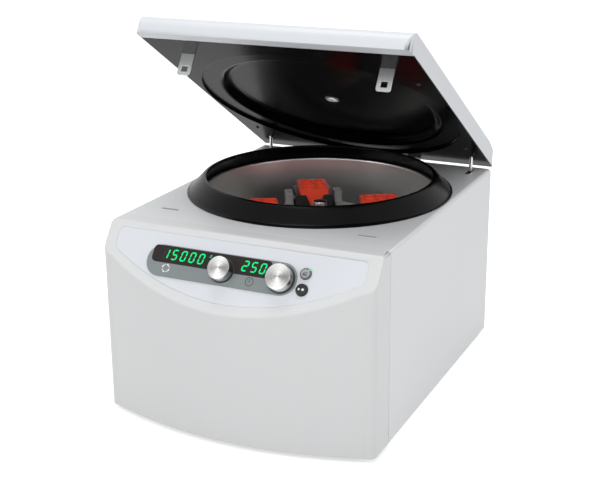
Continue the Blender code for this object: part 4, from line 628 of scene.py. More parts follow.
def eased(corners: Array, reach: Array | float, steps: int = 4, closed: bool = False) -> Array:
    """A line whose corners are rounded.

    Round corner C runs the curve (1-t)^2 A + 2t(1-t) C + t^2 B, with A and B on its two sides at the reach.

    Args:
        corners: corners as rows of two or three numbers.
        reach: how far from each corner its curve starts.
        steps: parts of each curve.
        closed: whether the last corner joins the first.

    Returns:
        The rounded line's points.
    """
    corners = np.asarray(corners, float)
    before, after = np.roll(corners, 1, axis=0), np.roll(corners, -1, axis=0)
    if not closed:
        before[0], after[-1] = corners[0], corners[-1]
    wanted = np.broadcast_to(np.asarray(reach, float), len(corners))[:, None]

    def towards(other: Array) -> Array:
        """Points at the reach along the sides to the other corners."""
        step = other - corners
        size = np.linalg.norm(step, axis=1, keepdims=True)
        return corners + step / np.maximum(size, 1e-9) * np.minimum(wanted, size * 0.48)

    start, end, middle = towards(before)[:, None], towards(after)[:, None], corners[:, None]
    t = np.linspace(0, 1, steps + 1)[None, :, None]
    curve = (1 - t) ** 2 * start + 2 * t * (1 - t) * middle + t**2 * end
    return curve.reshape(-1, corners.shape[1])


def turned(profile: Array, around: int = 96, closed: bool = False) -> Surface:
    """Surface of revolution: profile point (r, z) at angle a goes to (r cos a, r sin a, z).

    Args:
        profile: rows of radius and height.
        around: points round the axis.
        closed: whether the profile's ends join.

    Returns:
        The surface.
    """
    profile = np.asarray(profile, float)
    angle = np.linspace(0, 2 * np.pi, around, endpoint=False)
    radius, height = profile[:, :1], profile[:, 1:]
    points = np.stack([radius * np.cos(angle), radius * np.sin(angle), height + 0 * angle], axis=-1)
    return grid(points, closed, True)


def outward(outline: Array) -> Array:
    """Unit normals of a counter-clockwise outline: the mean of both sides, turned by a right angle."""
    along = np.roll(outline, -1, axis=0) - np.roll(outline, 1, axis=0)
    size = np.maximum(np.linalg.norm(along, axis=1, keepdims=True), 1e-9)
    return np.stack([along[:, 1], -along[:, 0]], axis=1) / size


def plate(outline: Array, low: float, high: float, edge: float = 0.0) -> Surface:
    """Flat plate: the outline carried from low to high, drawn in along its normals at a chamfered upper edge.

    Args:
        outline: counter-clockwise rows of x and y.
        low: height of the underside.
        high: height of the top.
        edge: width of the chamfer.

    Returns:
        The closed surface.
    """
    outline = np.asarray(outline, float)
    inset = outline - outward(outline) * edge
    layers = [(outline, low), (outline, high - edge), (inset, high)]
    points = np.stack([np.column_stack([line, np.full(len(line), z)]) for line, z in layers])
    sides = grid(points, False, True)
    count = len(outline)
    bottom = np.arange(count)[None, ::-1]
    top = (np.arange(count) + 2 * count)[None, :]
    return Surface(sides.points, sides.faces + (bottom, top))


def oblong(wide: float, tall: float, reach: float = 0.0, steps: int = 4) -> Array:
    """Counter-clockwise outline of a rectangle about the origin with eased corners."""
    x, y = wide / 2, tall / 2
    return eased(np.array([(-x, -y), (x, -y), (x, y), (-x, y)]), reach, steps, True)


def sector(inner: float, outer: float, start: float, end: float, steps: int = 12) -> Array:
    """Outline of part of a ring: out along the outer arc and back along the inner one."""
    angle = np.linspace(start, end, steps)
    unit = np.stack([np.cos(angle), np.sin(angle)], axis=1)
    return np.concatenate([unit * outer, unit[::-1] * inner])


def ring(inner: float, outer: float, low: float, high: float, around: int = 48) -> Surface:
    """Flat ring with a square section."""
    return turned([(inner, low), (outer, low), (outer, high), (inner, high)], around, True)


def corner_points(mesh: bpy.types.Mesh) -> Array:
    """The mesh's corner points as rows of x, y and z."""
    return np.array([vertex.co for vertex in mesh.vertices])


def smoothed(mesh: bpy.types.Mesh) -> None:
    """Shade a mesh smooth but for its sharp edges."""
    mesh.polygons.foreach_set("use_smooth", np.ones(len(mesh.polygons), bool))
    mesh.set_sharp_from_angle(angle=SHARP)


def mesh_of(name: str, surface: Surface) -> bpy.types.Mesh:
    """A mesh of a surface, with doubles merged and faces turned outwards.

    Args:
        name: the mesh's name.
        surface: the surface in the machine's frame.

    Returns:
        The mesh.
    """
    mesh = bpy.data.meshes.new(name)
    faces = [face for group in surface.faces for face in group.tolist()]
    mesh.from_pydata(surface.points.tolist(), [], faces)
    shape = bmesh.new()
    shape.from_mesh(mesh)
    bmesh.ops.remove_doubles(shape, verts=shape.verts[:], dist=MERGE)
    bmesh.ops.recalc_face_normals(shape, faces=shape.faces[:])
    shape.to_mesh(mesh)
    shape.free()
    return mesh


def added(name: str, mesh: bpy.types.Mesh, finish: Finish, body: str) -> bpy.types.Object:
    """Put a mesh into the scene as a piece.

    Args:
        name: the piece's name.
        mesh: its mesh, already in place.
        finish: its finish.
        body: the body it moves with.

    Returns:
        The piece.
    """
    smoothed(mesh)
    mesh.materials.clear()
    mesh.materials.append(finish.material())
    piece = bpy.data.objects.new(name, mesh)
    bpy.context.scene.collection.objects.link(piece)
    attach(piece, body)
    log.info("%s: %d faces on %s", name, len(mesh.polygons), body)
    return piece


def built(name: str, surface: Surface, finish: Finish, body: str, *replaced: str) -> bpy.types.Object:
    """Make a piece from a surface.

    Args:
        name: the piece's name.
        surface: the surface in the machine's frame.
        finish: its finish.
        body: the body it moves with.
        replaced: CAD nodes that it stands for.

    Returns:
        The piece.
    """
    piece = added(name, mesh_of(name, surface), finish, body)
    if replaced:
        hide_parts(*replaced)
    return piece


def skinned(node: str, finish: Finish, edge: float = 0.0) -> bpy.types.Object:
    """A smooth-shaded skin over a CAD solid, which it replaces.

    Args:
        node: the CAD node.
        finish: its finish.
        edge: width of the worn edge that is rounded on, or nought.

    Returns:
        The piece.
    """
    shape = bmesh.new()
    shape.from_mesh(frame["nodes"][node].data)
    bmesh.ops.remove_doubles(shape, verts=shape.verts[:], dist=MERGE)
    if edge:
        bmesh.ops.dissolve_limit(shape, angle_limit=FLAT, verts=shape.verts[:], edges=shape.edges[:])
    mesh = bpy.data.meshes.new(f"{node}_skin")
    shape.to_mesh(mesh)
    shape.free()
    piece = added(f"{node}_skin", mesh, finish, BODY_OF[node])
    if edge:
        bevel = piece.modifiers.new("worn edge", "BEVEL")
        bevel.width = edge
        bevel.segments = 2
        bevel.limit_method = "ANGLE"
        bevel.angle_limit = SHARP
        bevel.harden_normals = True
    evened = piece.modifiers.new("even shading", "WEIGHTED_NORMAL")
    evened.keep_sharp = True
    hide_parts(node)
    return piece


def painted(node: str, finish: Finish) -> None:
    """Give a CAD node that stays shown its finish."""
    piece = frame["nodes"][node]
    piece.data.materials.clear()
    piece.data.materials.append(finish.material())
    log.info("%s: keeps its solid", node)


def carved(piece: bpy.types.Object, cutters: list[Surface]) -> None:
    """Cut closed surfaces out of a piece and keep the result as its mesh.

    Args:
        piece: the piece, with its modifiers so far.
        cutters: closed surfaces in the machine's frame.
    """
    tools = []
    for number, cutter in enumerate(cutters):
        tool = bpy.data.objects.new(f"cutter_{number}", mesh_of(f"cutter_{number}", cutter))
        bpy.context.scene.collection.objects.link(tool)
        tools.append(tool)
        cut = piece.modifiers.new(f"slot {number}", "BOOLEAN")
        cut.operation = "DIFFERENCE"
        cut.solver = "EXACT"
        cut.object = tool
    bpy.context.view_layer.update()
    evaluated = piece.evaluated_get(bpy.context.evaluated_depsgraph_get())
    result = bpy.data.meshes.new_from_object(evaluated)
    result.materials.clear()
    result.materials.append(piece.data.materials[0])
    piece.modifiers.clear()
    piece.data = result
    smoothed(result)
    for tool in tools:
        bpy.data.objects.remove(tool)


# Where things are

DECK_Z = 0.296
SEAM_Y = -0.192068
REAR_Y = 0.271932
AXIS = Place((0.0, 0.049932, DECK_Z))
PANEL_TILT = (0.592013, 0.805928)
PANEL = Place((0.0, -0.215368, DECK_Z), y=(0.0, *PANEL_TILT), z=(0.0, -PANEL_TILT[1], PANEL_TILT[0]))
OPEN = math.radians(32.2)
LID = Place(
    (0.0, 0.273132, 0.2875),
    y=(0.0, math.cos(OPEN), -math.sin(OPEN)),
    z=(0.0, math.sin(OPEN), math.cos(OPEN)),
)
HINGE_BEHIND = 0.0016
LID_UNDER = 0.0125
REAR_INSET = 0.012
SHEET = 0.0015
GAP = 0.0003
REAR_FACE_Y = REAR_Y - REAR_INSET + SHEET


def lid_place(x: float, s: float, n: float) -> Place:
    """A point of the lid, s from its rear edge and n above its underside, on the lid's own axes."""
    return LID.at(x, HINGE_BEHIND - s, LID_UNDER + n)


def panel_place(u: float, v: float, n: float = 0.0) -> Place:
    """A point of the slanted panel, u across and v down the slope."""
    return PANEL.at(u, -v, n)


# Finishes

MOULDING = Finish(
    "satin light moulding", "light_moulding", (0.62, 0.625, 0.63), Grain.MOULDED, 0.42, depth=0.000012
)
# Pale grey powder coat; its faint blue cast is painted sky reflection.
COVER = Finish("pearl powder coat", "cover_paint", (0.64, 0.655, 0.67), Grain.POWDER, 0.4, depth=0.00002)
LID_SHELL = Finish("lid moulding", "lid_moulding", (0.61, 0.63, 0.66), Grain.MOULDED, 0.4, depth=0.000012)
FILM = Finish("crescent film", "panel_film", (0.62, 0.645, 0.685), Grain.FILM, 0.4, depth=0.000004)
PILL = Finish("grey bezel", "bezel_grey", (0.2, 0.225, 0.228), Grain.FILM, 0.45, specular=0.3, depth=0.000005)
WINDOW = Finish(
    "display window", "display_black", (0.024, 0.019, 0.019), Grain.GLOSS, 0.3, specular=0.12, depth=0.000002
)
LINER = Finish(
    "glossy black liner", "black_gloss", (0.0015, 0.0015, 0.0018), Grain.GLOSS, 0.2, specular=0.04,
    depth=0.00006
)
SWITCH = Finish("glossy black switch", "black_gloss", (0.01, 0.01, 0.011), Grain.GLOSS, 0.2)
BARREL = Finish("strut barrel enamel", "black_gloss", (0.012, 0.012, 0.013), Grain.GLOSS, 0.24, coat=0.4)
BLACK = Finish(
    "black moulded plastic", "black_plastic", (0.014, 0.0145, 0.015), Grain.MOULDED, 0.45, depth=0.00002
)
RUBBER = Finish(
    "black rubber", "black_rubber", (0.002, 0.002, 0.0022), Grain.RUBBER, 0.26, specular=0.1, depth=0.00001
)
SOLE = Finish("rubber foot", "black_rubber", (0.012, 0.012, 0.012), Grain.RUBBER, 0.7, depth=0.00003)
BOWL_STEEL = Finish(
    "spun bowl steel", "brushed_steel", (0.82, 0.815, 0.80), Grain.ROUND_BRUSHED, 0.34, 1.0, size=0.0012,
    depth=0.00001, tone=0.08, centre=AXIS.origin,
)
STRAP_STEEL = Finish(
    "brushed strap steel", "brushed_steel", (0.5, 0.51, 0.515), Grain.LINE_BRUSHED, 0.33, 1.0, size=0.0006,
    depth=0.000006, tone=0.07, centre=LID.origin, turn=LID.angles(),
)
CAST = Finish(
    "grey casting", "cast_grey", (0.34, 0.34, 0.335), Grain.CAST, 0.5, 0.5, size=0.0014, depth=0.00005
)
ROD = Finish("bright rod", "bright_rod", (0.6, 0.6, 0.61), Grain.GLOSS, 0.16, 1.0, depth=0.00001)
ZINC = Finish(
    "zinc plated sheet", "zinc_steel", (0.48, 0.49, 0.5), Grain.ZINC, 0.4, 0.9, depth=0.00001, tone=0.1
)
RED = Finish("red adapter", "adapter_red", (0.92, 0.075, 0.03), Grain.MOULDED, 0.42, depth=0.00002, tone=0.08)
CLEAR = Finish("clear plug", "clear_plastic", (0.85, 0.88, 0.9), Grain.GLOSS, 0.08, clear=0.9, depth=0.00001)
CAP_GREY = Finish("grey key", "button_grey", (0.1, 0.1, 0.102), Grain.MOULDED, 0.4, depth=0.00001)
CAP_FACE = Finish("light key face", "button_grey", (0.3, 0.305, 0.31), Grain.MOULDED, 0.42, depth=0.00001)
CAP_BLACK = Finish(
    "black key", "black_plastic", (0.012, 0.012, 0.013), Grain.MOULDED, 0.42, specular=0.3, depth=0.00001
)
BOARD = Finish("green board", "board_green", (0.02, 0.12, 0.05), Grain.BOARD, 0.35, depth=0.00003, tone=0.3)
SCREW = Finish("black screw", "black_plastic", (0.02, 0.02, 0.021), Grain.ZINC, 0.34, 0.6, tone=0.1)
BRIGHT_SCREW = Finish("zinc screw", "zinc_steel", (0.5, 0.5, 0.51), Grain.ZINC, 0.32, 0.95, tone=0.1)
INK_WHITE = Finish("white ink", "panel_film", (0.8, 0.8, 0.8), Grain.FILM, 0.5)
# Dark print on the bezel and lid key, and painted shade in the screws' recesses.
DARK_INK_AND_SHADE = Finish("dark ink", "bezel_grey", (0.035, 0.037, 0.04), Grain.FILM, 0.5)
LIT_GREEN = Finish(
    "lit green", "display_black", (0.0, 0.52, 0.14), Grain.LIT, 0.4, specular=0.1, tone=0.1, glow=1.0
)
UNLIT = Finish("unlit segment", "display_black", (0.036, 0.03, 0.03), Grain.LIT, 0.4, specular=0.12)


def spun_finish(name: str, place: Place) -> Finish:
    """Turned aluminium whose rings lie round a place's third axis, with a painted fan of highlight and shade
    about it.
    """
    # The large tone is the reach of the painted fan of highlight and shade.
    return Finish(
        name, "spun_aluminium", (0.56, 0.555, 0.55), Grain.SPUN, 0.26, 1.0, size=0.0007,
        depth=0.000002, tone=0.6, centre=place.origin, turn=place.angles(),
    )


# Fasteners


def cross_screw(radius: float) -> tuple[Surface, Surface]:
    """Pan-head screw on its own axes, and two dark bars of painted shade where its recess is.

    Args:
        radius: radius of the head.

    Returns:
        The head and the painted shade of its recess.
    """
    high = radius * 0.55
    head = turned(
        eased([(0, high), (radius * 0.55, high), (radius, high * 0.25), (radius, 0)], radius * 0.3), 40
    )
    foot = turned([(0, 0), (radius, 0)], 40)
    bar = plate(oblong(radius * 1.15, radius * 0.26, radius * 0.06, 2), high * 0.5, high * 1.02)
    return head + foot, bar + bar.on(Place((0, 0, 0)).spun(math.pi / 2))


def screws(name: str, places: list[Place], radius: float, body: str, finish: Finish) -> None:
    """A group of equal pan-head screws as one piece, with the painted shade of their recesses as another."""
    head, recess_shade = cross_screw(radius)
    spots = [place.spun(0.4 + 1.1 * number) for number, place in enumerate(places)]
    built(name, together([head.on(spot) for spot in spots]), finish, body)
    # Dark bars of painted shade stand in each screw's recess.
    built(f"{name}_recess", together([recess_shade.on(spot) for spot in spots]), DARK_INK_AND_SHADE, body)


# Sub-assemblies


@dataclass
class Studio:
    """Bench, backdrop, lamps and camera."""

    camera_at: Colour = (0.75093, -1.602628, 0.81691)
    right: Colour = (0.90415, 0.42713, -0.00830)
    up: Colour = (-0.12153, 0.27580, 0.95350)
    view: Colour = (-0.40955, 0.86110, -0.30127)
    lens: float = 71.16
    shift: float = -0.05
    bench: float = 40.0
    ambient: float = 0.48

    def build(self) -> None:
        """Make everything that isn't the machine."""
        self._camera()
        self._world()
        self._bench()
        self._lamp("key softbox", (-1.9, -2.6, 1.5), (0.0, 0.0, 0.25), 1.4, 20.0)
        self._lamp("front softbox", (0.5, -1.9, 2.0), (0.0, 0.0, 0.25), 0.9, 18.0)
        self._lamp("side softbox", (2.8, -0.4, 1.3), (0.1, 0.0, 0.2), 1.6, 18.0)
        self._lamp("top softbox", (-0.3, 0.3, 2.8), (0.0, 0.0, 0.3), 1.6, 28.0)

    def _camera(self) -> None:
        """Camera at the photograph's angle."""
        data = bpy.data.cameras.new("camera")
        data.lens = self.lens
        data.sensor_width = 36.0
        data.shift_y = self.shift
        data.clip_end = 200.0
        camera = bpy.data.objects.new("camera", data)
        turn = Matrix((self.right, self.up, tuple(-value for value in self.view))).transposed().to_4x4()
        camera.matrix_world = Matrix.Translation(self.camera_at) @ turn
        bpy.context.scene.collection.objects.link(camera)
        bpy.context.scene.camera = camera
        bpy.context.scene.view_settings.view_transform = "Standard"

    @staticmethod
    def _seen(sheet: Shading) -> Wire:
        """One for rays from the camera, a mirror or glass, else nought."""
        camera = sheet.node("ShaderNodeLightPath", output="Is Camera Ray")
        glossy = sheet.node("ShaderNodeLightPath", output="Is Glossy Ray")
        through = sheet.node("ShaderNodeLightPath", output="Is Transmission Ray")
        return camera.larger(glossy).larger(through)

    def _world(self) -> None:
        """White where it is seen, and a soft even grey light elsewhere."""
        world = bpy.data.worlds.new("studio")
        world.use_nodes = True
        sheet = Shading(world.node_tree)
        strength = self._seen(sheet) * (1 - self.ambient) + self.ambient
        light = sheet.node(
            "ShaderNodeBackground", None, {"Color": (1.0, 1.0, 1.0, 1.0), "Strength": strength}
        )
        sheet.node("ShaderNodeOutputWorld", None, {"Surface": light})
        bpy.context.scene.world = world

    def _bench(self) -> None:
        """Pale flat floor, lifted to white where it is seen."""
        side = np.linspace(-self.bench, self.bench, 9)
        x, y = np.meshgrid(side, side)
        surface = grid(np.stack([x, y, 0 * x - 0.0002], axis=-1))
        mesh = bpy.data.meshes.new("bench")
        mesh.from_pydata(surface.points.tolist(), [], surface.faces[0].tolist())
        paint = bpy.data.materials.new("bench")
        paint.use_nodes = True
        sheet = Shading(paint.node_tree)
        mottle = sheet.noise(sheet.place(), 40.0, 2.0)
        base = sheet.blend(mottle, (0.8, 0.8, 0.8), (0.82, 0.82, 0.82))
        flat = sheet.node("ShaderNodeBsdfDiffuse", None, {"Color": base})
        lift = sheet.node("ShaderNodeEmission", None, {"Strength": self._seen(sheet) * 0.62})
        both = sheet.node("ShaderNodeAddShader", None, {0: flat, 1: lift})
        sheet.node("ShaderNodeOutputMaterial", None, {"Surface": both})
        mesh.materials.append(paint)
        bench = bpy.data.objects.new("bench", mesh)
        bpy.context.scene.collection.objects.link(bench)

    @staticmethod
    def _lamp(name: str, at: Colour, aim: Colour, size: float, power: float) -> None:
        """Square soft lamp aimed at a point."""
        data = bpy.data.lights.new(name, "AREA")
        data.shape = "SQUARE"
        data.size = size
        data.energy = power
        lamp = bpy.data.objects.new(name, data)
        lamp.location = at
        lamp.rotation_euler = (Vector(aim) - Vector(at)).to_track_quat("-Z", "Y").to_euler()
        bpy.context.scene.collection.objects.link(lamp)


@dataclass
class Housing:
    """Covers, tray, rear panel and feet."""

    foot_x: float = 0.170
    foot_radius: float = 0.014
    foot_height: float = 0.009
    screw_radius: float = 0.0032
    seam: float = 0.0009
    seam_reach: float = 0.0005

    def build(self) -> None:
        """Skin the sheet parts and the moulding, open the seam between them, and add feet and screws."""
        cover = skinned("folded_cover", COVER)
        points = corner_points(cover.data)
        points[points[:, 1] < SEAM_Y + self.seam_reach, 1] += self.seam
        cover.data.vertices.foreach_set("co", points.ravel())
        skinned("rear_panel", COVER)
        skinned("front_moulding", MOULDING)
        skinned("base_tray", ZINC)
        self._feet()
        self._screws()

    def _feet(self) -> None:
        """Turned rubber feet with a rounded sole, a groove and a screw dimple."""
        high, radius = self.foot_height, self.foot_radius
        corners = [(0, high), (radius, high), (radius, high * 0.62), (radius - 0.0007, high * 0.55)]
        corners += [
            (radius - 0.0004, high * 0.48), (radius - 0.002, 0), (0.0055, 0), (0.005, 0.003), (0, 0.003)
        ]
        shape = turned(eased(corners, 0.0008), 64)
        for depth, y in (("front", SEAM_Y + 0.048), ("rear", REAR_Y - 0.048)):
            for side, word in ((-1, "left"), (1, "right")):
                node = f"foot_{depth}_{word}"
                built(f"{node}_rubber", shape.on(Place((side * self.foot_x, y, 0.0))), SOLE, "housing", node)

    def _screws(self) -> None:
        """Pan-head screws round the rear panel."""
        back = Place((0.0, REAR_FACE_Y, 0.0), (1, 0, 0), (0, 0, -1), (0, 1, 0))
        spots = [back.at(x, -z) for x in (-0.2, 0.2) for z in (0.022, 0.15, 0.268)]
        spots += [back.at(x, -0.020) for x in (-0.09, 0.09)]
        screws("rear_screws", spots, self.screw_radius, "housing", BRIGHT_SCREW)


@dataclass
class ControlPanel:
    """Crescent film, display, knobs and keys."""

    bezel_top: float = 0.0
    glass_top: float = 0.0
    ink: float = 0.00006
    lit: float = 0.00008
    unlit: float = 0.00004
    cell: float = 0.0090
    tall: float = 0.0158
    stroke: float = 0.0019
    slant: float = 0.176
    knob_height: float = 0.0145
    knob_lift: float = 0.0019
    key_u: float = 0.1105
    key_proud: float = 0.0028

    def build(self) -> None:
        """Everything on the slanted panel."""
        skinned("control_panel", FILM)
        skinned("display_bezel", PILL)
        skinned("display_window", WINDOW)
        self.glass_top = self._top("display_window") + 0.00005
        self.bezel_top = self._top("display_bezel")
        border = plate(oblong(0.1894, 0.0252, 0.008, 8), 0.0, 0.00004)
        built("display_border", border.on(panel_place(-0.0350, 0.0421, self.bezel_top)), WINDOW, "housing")
        self._digits("speed_digits", "15000", -0.1080, 0.0143, 0.0416)
        self._digits("time_digits", "250", 0.0195, 0.0136, 0.0418)
        self._signs()
        self._knob("speed", -0.014, 0.0530, 0.0173)
        self._knob("time", 0.0775, 0.0525, 0.0193)
        self._lid_key(0.0395, 0.0080)
        self._start_key(0.0625, 0.0086)
        painted("panel_board", BOARD)
        for node in ("encoder_speed", "encoder_time"):
            painted(node, ZINC)

    @staticmethod
    def _top(node: str) -> float:
        """Height of a node's top over the panel's plane."""
        heights = corner_points(frame["nodes"][node].data) @ np.array(PANEL.z)
        return float(max(heights)) - float(np.dot(PANEL.origin, PANEL.z))

    def _segments(self, digit: str, lit: bool) -> Array:
        """Outlines of one digit's lit or unlit bars.

        Each bar is a six-cornered strip between two of the cell's six corner points, then every point
        leans by x + slant y.

        Args:
            digit: the figure shown.
            lit: whether the lit or the unlit bars are wanted.

        Returns:
            Array of bars by six corners by two.
        """
        codes = {"0": "abcdef", "1": "bc", "2": "abdeg", "3": "abcdg", "4": "bcfg", "5": "acdfg",
                 "6": "acdefg", "7": "abc", "8": "abcdefg", "9": "abcdfg"}
        x, y = (self.cell - self.stroke) / 2, (self.tall - self.stroke) / 2
        ends = {"a": ((-x, y), (x, y)), "b": ((x, y), (x, 0)), "c": ((x, 0), (x, -y)),
                "d": ((-x, -y), (x, -y)), "e": ((-x, -y), (-x, 0)), "f": ((-x, 0), (-x, y)),
                "g": ((-x, 0), (x, 0))}
        wanted = [name for name in ends if (name in codes[digit]) == lit]
        if not wanted:
            return np.zeros((0, 6, 2))
        lines = np.array([ends[name] for name in wanted])
        along = lines[:, 1] - lines[:, 0]
        along = along / np.linalg.norm(along, axis=1, keepdims=True)
        side = np.stack([along[:, 1], -along[:, 0]], axis=1) * self.stroke / 2
        gap = along * self.stroke * 0.12
        nose = along * self.stroke / 2
        first, last = lines[:, 0] + gap, lines[:, 1] - gap
        bars = np.stack(
            [first, first + nose + side, last - nose + side, last, last - nose - side, first + nose - side],
            axis=1,
        )
        bars[..., 0] += self.slant * bars[..., 1]
        return bars

    def _digits(self, name: str, text: str, start: float, pitch: float, v: float) -> None:
        """A row of lit figures just over the window, with their unlit bars under them."""
        for lit, finish, rise in ((True, LIT_GREEN, self.lit), (False, UNLIT, self.unlit)):
            parts = []
            for number, digit in enumerate(text):
                spot = panel_place(start + number * pitch, v, self.glass_top)
                parts += [plate(bar, 0.0, rise).on(spot) for bar in self._segments(digit, lit)]
            if parts:
                built(f"{name}_{'lit' if lit else 'unlit'}", together(parts), finish, "housing")

    def _signs(self) -> None:
        """Turning arrows and a clock on the bezel, and the small lit mark after the speed."""
        top = self.bezel_top
        arcs = []
        for quarter in range(4):
            start = quarter * math.pi / 2 + 0.25
            tip = start + 0.85
            arcs.append(plate(sector(0.0050, 0.0060, start, tip), 0.0, self.ink))
            unit = np.array([math.cos(tip), math.sin(tip)])
            ahead = np.array([-unit[1], unit[0]])
            head = np.array([unit * 0.0071, unit * 0.0055 + ahead * 0.0026, unit * 0.0039])
            arcs.append(plate(head, 0.0, self.ink))
        built("turning_sign", together(arcs).on(panel_place(-0.1025, 0.0625, top)), INK_WHITE, "housing")
        clock = ring(0.0054, 0.0064, 0.0, self.ink)
        hand = plate(oblong(0.0009, 0.0042), 0.0, self.ink)
        short = plate(oblong(0.0028, 0.0009), 0.0, self.ink)
        clock = clock + hand.on(Place((0.0, 0.0017, 0.0))) + short.on(Place((-0.0010, 0.0, 0.0)))
        built("clock_sign", clock.on(panel_place(0.0312, 0.0630, top)), DARK_INK_AND_SHADE, "housing")
        dot = plate(oblong(0.0024, 0.0012, 0.0004), 0.0, self.lit)
        dots = dot + dot.on(Place((0.0012, 0.0022, 0.0)))
        built("unit_mark", dots.on(panel_place(-0.0375, 0.0370, self.glass_top)), LIT_GREEN, "housing")

    def _knob(self, word: str, u: float, v: float, radius: float) -> None:
        """Turned knob: a face of fine V-shaped rings, a bright chamfer and a straight skirt, with a thin
        black ring of painted shade round its foot.

        The face's height is top - |2 frac(r / pitch) - 1| times the ring's depth.
        """
        place = panel_place(u, v)
        top = self.knob_lift + self.knob_height
        pitch, depth, edge = 0.0004, 0.00003, 0.0008
        rim = radius - 0.0006
        r = np.arange(1, int((rim - edge) / pitch) * 2) * pitch / 2
        face = np.stack([r, top - depth * (np.arange(len(r)) % 2)], axis=1)
        corners = [
            (rim - edge, top), (rim, top - edge), (radius, self.knob_lift + 0.0012),
            (radius - 0.0006, self.knob_lift)
        ]
        side = eased(corners, 0.0004, 3)
        low = [(0.0062, self.knob_lift), (0.0062, self.knob_lift + 0.0105), (0.0027, self.knob_lift + 0.0105)]
        low += [(0.0027, -0.0045), (0, -0.0045)]
        profile = np.concatenate([[(0, top)], face, side, low])
        built(
            f"knob_{word}_spun", turned(profile, 112).on(place), spun_finish(f"spun {word} knob", place),
            f"{word}_dial", f"knob_{word}",
        )
        # A thin black ring on the bezel round the knob: a dark sheet of painted shade for the gap under the
        # knob.
        shade_ring = [
            (0.0064, self.bezel_top), (radius + 0.0013, self.bezel_top),
            (radius + 0.0013, self.bezel_top + 0.0002)
        ]
        shade_ring += [(radius + 0.0010, self.bezel_top + 0.0003), (0.0064, self.bezel_top + 0.0003)]
        built(f"{word}_knob_shade_ring", turned(shade_ring, 96, True).on(place), CAP_BLACK, "housing")

    def _key(self, name: str, v: float, radius: float, finish: Finish, body: str) -> Place:
        """Domed key with a fine edge, on its stem.

        Args:
            name: the CAD node that it replaces.
            v: distance down the slope.
            radius: the key's radius.
            finish: the cap's finish.
            body: the body it moves with.

        Returns:
            The middle of the key's face.
        """
        place = panel_place(self.key_u, v)
        top = self.key_proud
        corners = [
            (0, top + 0.0006), (radius * 0.5, top + 0.00045), (radius - 0.0006, top), (radius, top - 0.0006)
        ]
        corners += [
            (radius, -0.0033), (radius + 0.0014, -0.0033), (radius + 0.0014, -0.0048), (0.0024, -0.0048)
        ]
        corners += [(0.0024, -0.0186), (0, -0.0186)]
        built(f"{name}_cap", turned(eased(corners, 0.0004), 72).on(place), finish, body, name)
        return place.at(z=top)

    def _lid_key(self, v: float, radius: float) -> None:
        """Grey key with a lighter face, a raised-lid sign and a green lamp."""
        face = self._key("button_lid", v, radius, CAP_GREY, "lid_button")
        dome = [(0, 0.00075), (radius * 0.5, 0.0006), (radius * 0.74, 0.00035), (radius * 0.78, 0)]
        disc = turned(eased(dome, 0.0003), 64)
        built("lid_key_face", disc.on(face), CAP_FACE, "lid_button")
        bar = plate(oblong(0.0062, 0.0011), 0.0006, 0.00082)
        box = plate(oblong(0.0062, 0.0018), 0.0006, 0.00082)
        sign = bar.on(Place((0.0, 0.0004, 0.0)).spun(0.3)) + box.on(Place((0.0, -0.0022, 0.0)))
        built("lid_key_sign", sign.on(face), DARK_INK_AND_SHADE, "lid_button")
        lens = turned(eased([(0, 0.0011), (0.0008, 0.0009), (0.0013, 0.0)], 0.0003), 32)
        built("lid_key_lamp", lens.on(face.at(radius * 0.62, radius * 0.6, -0.0001)), LIT_GREEN, "lid_button")

    def _start_key(self, v: float, radius: float) -> None:
        """Black key with a white play triangle and stop square."""
        face = self._key("button_start", v, radius, CAP_BLACK, "start_button")
        play = plate(np.array([(-0.0045, -0.0019), (-0.0012, 0.0), (-0.0045, 0.0019)]), 0.0, 0.00065)
        stop = plate(oblong(0.0031, 0.0031, 0.0003, 2), 0.0, 0.00065).on(Place((0.0024, 0.0, 0.0)))
        built("start_key_sign", (play + stop).on(face), INK_WHITE, "start_button")


@dataclass
class Bowl:
    """Spun bowl, its rubber lip, and what holds them."""

    radius: float = 0.1825
    wall: float = 0.0012
    depth: float = 0.150
    rim: float = 0.1875
    rim_rise: float = 0.0023
    gap: float = 0.0003

    def build(self) -> None:
        """Bowl, lip and the hidden parts round them."""
        self._bowl()
        self._lip()
        painted("guard_ring", ZINC)
        skinned("motor", CAST)
        for node in ("damper_1", "damper_2", "damper_3"):
            painted(node, SOLE)
        painted("power_unit", ZINC)

    def _bowl(self) -> None:
        """Thin wall turned from one closed profile, with a pressed ring in its floor."""
        edge = (self.rim_rise - self.gap) / 2
        outer, low = self.radius + self.wall, -self.depth
        corners = [(outer, self.gap), (self.rim - edge, self.gap), (self.rim, self.gap + edge)]
        corners += [
            (self.rim - edge, self.rim_rise), (self.radius + edge, self.rim_rise),
            (self.radius, self.rim_rise - edge)
        ]
        corners += [
            (self.radius, low), (0.120, low), (0.118, low + 0.0012), (0.110, low + 0.0012), (0.108, low)
        ]
        corners += [(0.027, low), (0.027, low - self.wall), (outer, low - self.wall)]
        reach = [
            0.0, 0.0005, 0.001, 0.0005, 0.0005, 0.001, 0.024, 0.001, 0.001, 0.001, 0.001, 0.0, 0.0, 0.0252
        ]
        profile = eased(corners, np.array(reach), 10, True)
        built("bowl_spun", turned(profile, 192, True).on(AXIS), BOWL_STEEL, "housing", "bowl")

    def _lip(self) -> None:
        """Rubber lip that leans in over the bowl's rim."""
        corners = [(0.2100, 0.0003), (0.2100, 0.0016), (0.2060, 0.0032), (0.1965, 0.0128), (0.1868, 0.0232)]
        corners += [(0.1835, 0.0257), (0.1806, 0.0260), (0.1788, 0.0246), (0.1790, 0.0222)]
        corners += [(0.1836, 0.0120), (0.1876, 0.0042), (0.1880, 0.0028), (0.1880, 0.0003)]
        reach = [
            0.0002, 0.0006, 0.003, 0.006, 0.004, 0.0018, 0.0012, 0.0011, 0.0011, 0.004, 0.002, 0.0004, 0.0
        ]
        profile = eased(corners, np.array(reach), 6, True)
        lip = built("lip_seal_rubber", turned(profile, 192, True).on(AXIS), RUBBER, "housing", "lip_seal")
        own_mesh(lip)


